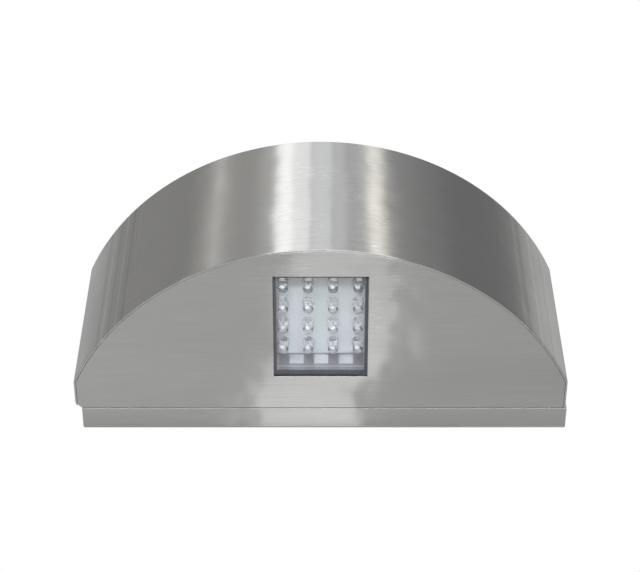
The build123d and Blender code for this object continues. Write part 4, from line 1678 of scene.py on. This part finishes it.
@dataclass
class ControlUnit:
    """The control board with its parts and the wires that end on it."""

    turns: int = 9
    wire_radius: float = 0.2 * MM
    core_radius: float = 2.8 * MM
    flange: float = 0.8 * MM
    leg_pitch: float = 1.27 * MM
    legs: int = 4
    leg_reach: float = 0.9 * MM
    leg_sheet: float = 0.2 * MM
    leg_width: float = 0.4 * MM
    turn_steps: int = 24
    wire_sides: int = 8

    def winding(self) -> None:
        """The copper wire wound round the storage coil's core."""
        low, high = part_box("storage_coil")
        middle = (low + high) / 2
        length = high.y - low.y - 2 * self.flange - 2 * self.wire_radius
        sizes = {"Turns": self.turns, "Radius": self.core_radius + self.wire_radius, "Length": length}
        growth = Growth("coil_winding", COPPER, **sizes)
        graph, given = growth.graph, growth.given
        spiral = {"Resolution": self.turn_steps, "Rotations": given["Turns"]}
        spiral.update({"Start Radius": given["Radius"], "End Radius": given["Radius"]})
        spiral["Height"] = given["Length"]
        curve = graph.add("GeometryNodeCurveSpiral", spiral).outputs[0]
        wire = {"Resolution": self.wire_sides, "Radius": self.wire_radius}
        circle = graph.add("GeometryNodeCurvePrimitiveCircle", wire).outputs[0]
        inputs = {"Curve": curve, "Profile Curve": circle, "Fill Caps": True}
        tube = graph.add("GeometryNodeCurveToMesh", inputs).outputs[0]
        turn = {"Geometry": tube, "Rotation": (math.radians(90), 0.0, 0.0)}
        turn["Translation"] = Vector((middle.x, middle.y + length / 2, middle.z))
        settle(growth.grow(graph.add("GeometryNodeTransform", turn).outputs[0]), COPPER)

    def chip_legs(self) -> None:
        """Two rows of legs beside the larger chip."""
        low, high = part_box("control_chips")
        out, sheet, width = self.leg_reach, self.leg_sheet, self.leg_width
        growth = Growth("chip_legs", TIN, Legs=self.legs, Pitch=self.leg_pitch)
        graph, given = growth.graph, growth.given
        foot = growth.block((out, sheet, width), (out / 2, -sheet / 2, 0.0))
        rise = growth.block((sheet, out, width), (0.0, -out / 2, 0.0))
        leg = growth.joined(foot, rise)
        step = graph.combine(Z=given["Pitch"])
        line = graph.add("GeometryNodeMeshLine", {"Count": given["Legs"], "Offset": step}).outputs[0]
        right = growth.repeated(line, leg)
        flip = {"Geometry": leg, "Rotation": (0.0, 0.0, math.radians(180))}
        flip["Translation"] = (0.0, -out, 0.0)
        left = growth.repeated(line, graph.add("GeometryNodeTransform", flip).outputs[0])
        reach = self.leg_pitch * (self.legs - 1) / 2
        sides = ((right, high.x), (left, low.x))
        rows = growth.joined(*(growth.moved(side, Vector((x, high.y, -reach))) for side, x in sides))
        settle(growth.grow(rows), TIN)

    def build(self) -> None:
        """Finish the board, its parts and the wires."""
        dress(CONTROL_MASK, "control_board")
        dress(ZINC, "control_screws")
        dress(CHIP, "control_chips")
        dress(FERRITE, "storage_coil")
        dress(CAPACITOR, "capacitor")
        dress(WHITE_WIRE, "lamp_wires", "switch_wires")
        dress(RED_WIRE, "panel_wires", "battery_wires")
        self.winding()
        self.chip_legs()


# ---- Studio ----


@dataclass(frozen=True)
class Softbox:
    """An upright strip of the studio's walls, seen from the light."""

    azimuth: float
    width: float
    softness: float
    level: float
    tint: Colour = WHITE


@dataclass(frozen=True)
class AreaLamp:
    """One flat lamp of the studio."""

    name: str
    place: Triple
    aim: Triple
    size: tuple[float, float]
    power: float
    mirrored: bool = False


@dataclass
class Studio:
    """Floor, walls, lamps and camera."""

    wall_level: float = 0.31
    ceiling: Colour = (0.7, 0.7, 0.7)
    ceiling_start: float = 0.94
    ceiling_full: float = 0.99
    floor_shaded: Colour = (0.68, 0.68, 0.675)
    floor_seen: Colour = (0.92, 0.92, 0.915)
    floor_roughness: float = 0.6
    floor_level: float = -1.45
    floor_size: float = 14.0
    camera_place: Vector = field(default_factory=lambda: Vector((-2.1, -634.2, -816.4)) * MM)
    camera_rise: float = 54.52
    lens: float = 113.2
    sensor_width: float = 36.0
    farthest: float = 50.0
    softboxes: tuple[Softbox, ...] = (
        Softbox(180.0, 60.0, 20.0, 0.50),
        Softbox(-180.0, 60.0, 20.0, 0.50),
        Softbox(170.0, 9.0, 7.0, 0.85),
        Softbox(-163.0, 13.0, 9.0, 0.72, WARM),
        Softbox(-140.0, 14.0, 6.0, 0.56),
        Softbox(-129.0, 12.0, 6.0, 0.47),
        Softbox(-118.0, 12.0, 6.0, 0.39),
        Softbox(-105.0, 5.0, 3.0, 0.27, WARM),
        Softbox(-84.0, 5.0, 4.0, 0.34, WARM),
        Softbox(-63.0, 8.0, 3.0, 0.28, WARM),
        Softbox(-55.5, 8.0, 2.0, 0.35, WARM),
        Softbox(-49.2, 2.5, 1.0, 1.50, WARM),
        Softbox(-37.5, 19.0, 3.0, 0.39, WARM),
        Softbox(-26.0, 6.0, 3.0, 0.52, WARM),
        Softbox(-16.8, 9.0, 2.5, 1.52),
        Softbox(-8.5, 9.0, 4.0, 1.16),
        Softbox(1.0, 11.0, 5.0, 0.90, COOL),
        Softbox(9.5, 7.0, 4.0, 0.72, COOL),
        Softbox(17.0, 9.0, 4.0, 0.55),
        Softbox(25.8, 7.5, 2.0, 1.36, AMBER),
        Softbox(34.0, 8.0, 4.0, 0.35),
        Softbox(43.0, 10.0, 4.0, 0.31),
        Softbox(54.0, 14.0, 4.0, 0.26),
        Softbox(83.0, 46.0, 4.0, 0.195),
        Softbox(110.5, 10.0, 2.5, 0.42),
        Softbox(121.0, 12.0, 3.0, 0.54, WARM),
        Softbox(135.0, 18.0, 5.0, 0.54),
    )
    lamps: tuple[AreaLamp, ...] = (
        AreaLamp("overhead", (0.0, -0.3, 1.7), (0.0, 0.0, 0.0), (2.4, 2.0), 15.0),
        AreaLamp("key", (-0.12, -1.20, -1.12), (0.0, -0.06, 0.0), (0.09, 0.09), 9.0),
        AreaLamp("under_fill", (0.0, -0.25, -1.30), (0.0, -0.06, 0.0), (0.9, 0.7), 1.9),
        AreaLamp("front_fill", (0.1, -1.1, -1.15), (0.0, -0.06, 0.0), (1.0, 0.3), 5.5, True),
        AreaLamp("low_strip", (-0.020, 0.96, -1.37), (-0.020, -0.06, 0.0), (0.14, 1.5), 0.33, True),
        AreaLamp("floor_wash", (-1.2, 1.0, -0.75), (-0.3, 1.0, -1.45), (0.5, 0.5), 2.8),
    )

    def sky(self) -> None:
        """The studio's walls: strips of light round the object, and white for the camera."""
        world = bpy.data.worlds.new("studio")
        bpy.context.scene.world = world
        world.use_nodes = True
        world.node_tree.nodes.clear()
        graph = Graph(world.node_tree)
        way = graph.add("ShaderNodeTexCoord").outputs["Generated"]
        at = graph.split(way)
        turn = graph.sum("ARCTAN2", at["X"], graph.times(at["Y"], -1.0))
        azimuth = graph.sum("DEGREES", turn)
        colour: object = tuple(c * self.wall_level for c in WARM)
        for box in self.softboxes:
            off = graph.sum("ABSOLUTE", graph.minus(azimuth, box.azimuth))
            half, soft = box.width / 2, box.softness / 2
            share = graph.remap(off, half + soft, half - soft)
            colour = graph.tint(share, colour, tuple(c * box.level for c in box.tint))
        overhead = graph.remap(at["Z"], self.ceiling_start, self.ceiling_full)
        colour = graph.tint(overhead, colour, self.ceiling)
        seen = graph.add("ShaderNodeLightPath").outputs["Is Camera Ray"]
        colour = graph.tint(seen, colour, WHITE)
        wall = graph.add("ShaderNodeBackground", {"Color": colour, "Strength": 1.0})
        graph.add("ShaderNodeOutputWorld", {"Surface": wall.outputs[0]})

    def floor(self) -> None:
        """A plain pale floor far below the light."""
        half = self.floor_size / 2
        corners = [(x * half, y * half, self.floor_level) for x, y in ((-1, -1), (1, -1), (1, 1), (-1, 1))]
        mesh = bpy.data.meshes.new("floor")
        mesh.from_pydata(corners, [], [(0, 1, 2, 3)])
        floor = new_object("floor", mesh)
        material = bpy.data.materials.new("pale_floor")
        material.use_nodes = True
        skin = material.node_tree.nodes["Principled BSDF"]
        graph = Graph(material.node_tree)
        seen = graph.add("ShaderNodeLightPath").outputs["Is Camera Ray"]
        colour = graph.tint(seen, self.floor_shaded, self.floor_seen)
        graph.fill(skin, {"Base Color": colour, "Roughness": self.floor_roughness})
        mesh.materials.append(material)

    def place_lamps(self) -> None:
        """Hang the lamps, aimed and out of the camera's sight."""
        for lamp in self.lamps:
            light = bpy.data.lights.new(lamp.name, "AREA")
            light.shape = "RECTANGLE"
            light.size, light.size_y = lamp.size
            light.energy = lamp.power
            holder = bpy.data.objects.new(lamp.name, light)
            holder.location = lamp.place
            beam = Vector(lamp.aim) - Vector(lamp.place)
            holder.rotation_euler = beam.to_track_quat("-Z", "Y").to_euler()
            holder.visible_camera = False
            holder.visible_glossy = lamp.mirrored
            bpy.context.scene.collection.objects.link(holder)

    def camera(self) -> None:
        """The camera below and in front of the light, looking up at its window."""
        data = bpy.data.cameras.new("camera")
        data.lens = self.lens
        data.sensor_width = self.sensor_width
        data.clip_end = self.farthest
        camera = bpy.data.objects.new("camera", data)
        camera.location = self.camera_place
        camera.rotation_euler = (math.radians(90.0 + self.camera_rise), 0.0, 0.0)
        bpy.context.scene.collection.objects.link(camera)
        bpy.context.scene.camera = camera

    def build(self) -> None:
        """Set the studio up."""
        bpy.context.scene.view_settings.view_transform = "Standard"
        self.sky()
        self.floor()
        self.place_lamps()
        self.camera()


def main() -> None:
    """Build the light, sub-assembly by sub-assembly, and then the studio."""
    logging.basicConfig(level=logging.INFO, format="%(name)s %(message)s")
    for unit in (SteelCover(), FenceTray(), LampUnit(), SolarPanel(), ServiceInsert(), ControlUnit()):
        log.info("building %s", type(unit).__name__)
        unit.build()
    Studio().build()


if __name__ == "__main__":
    main()
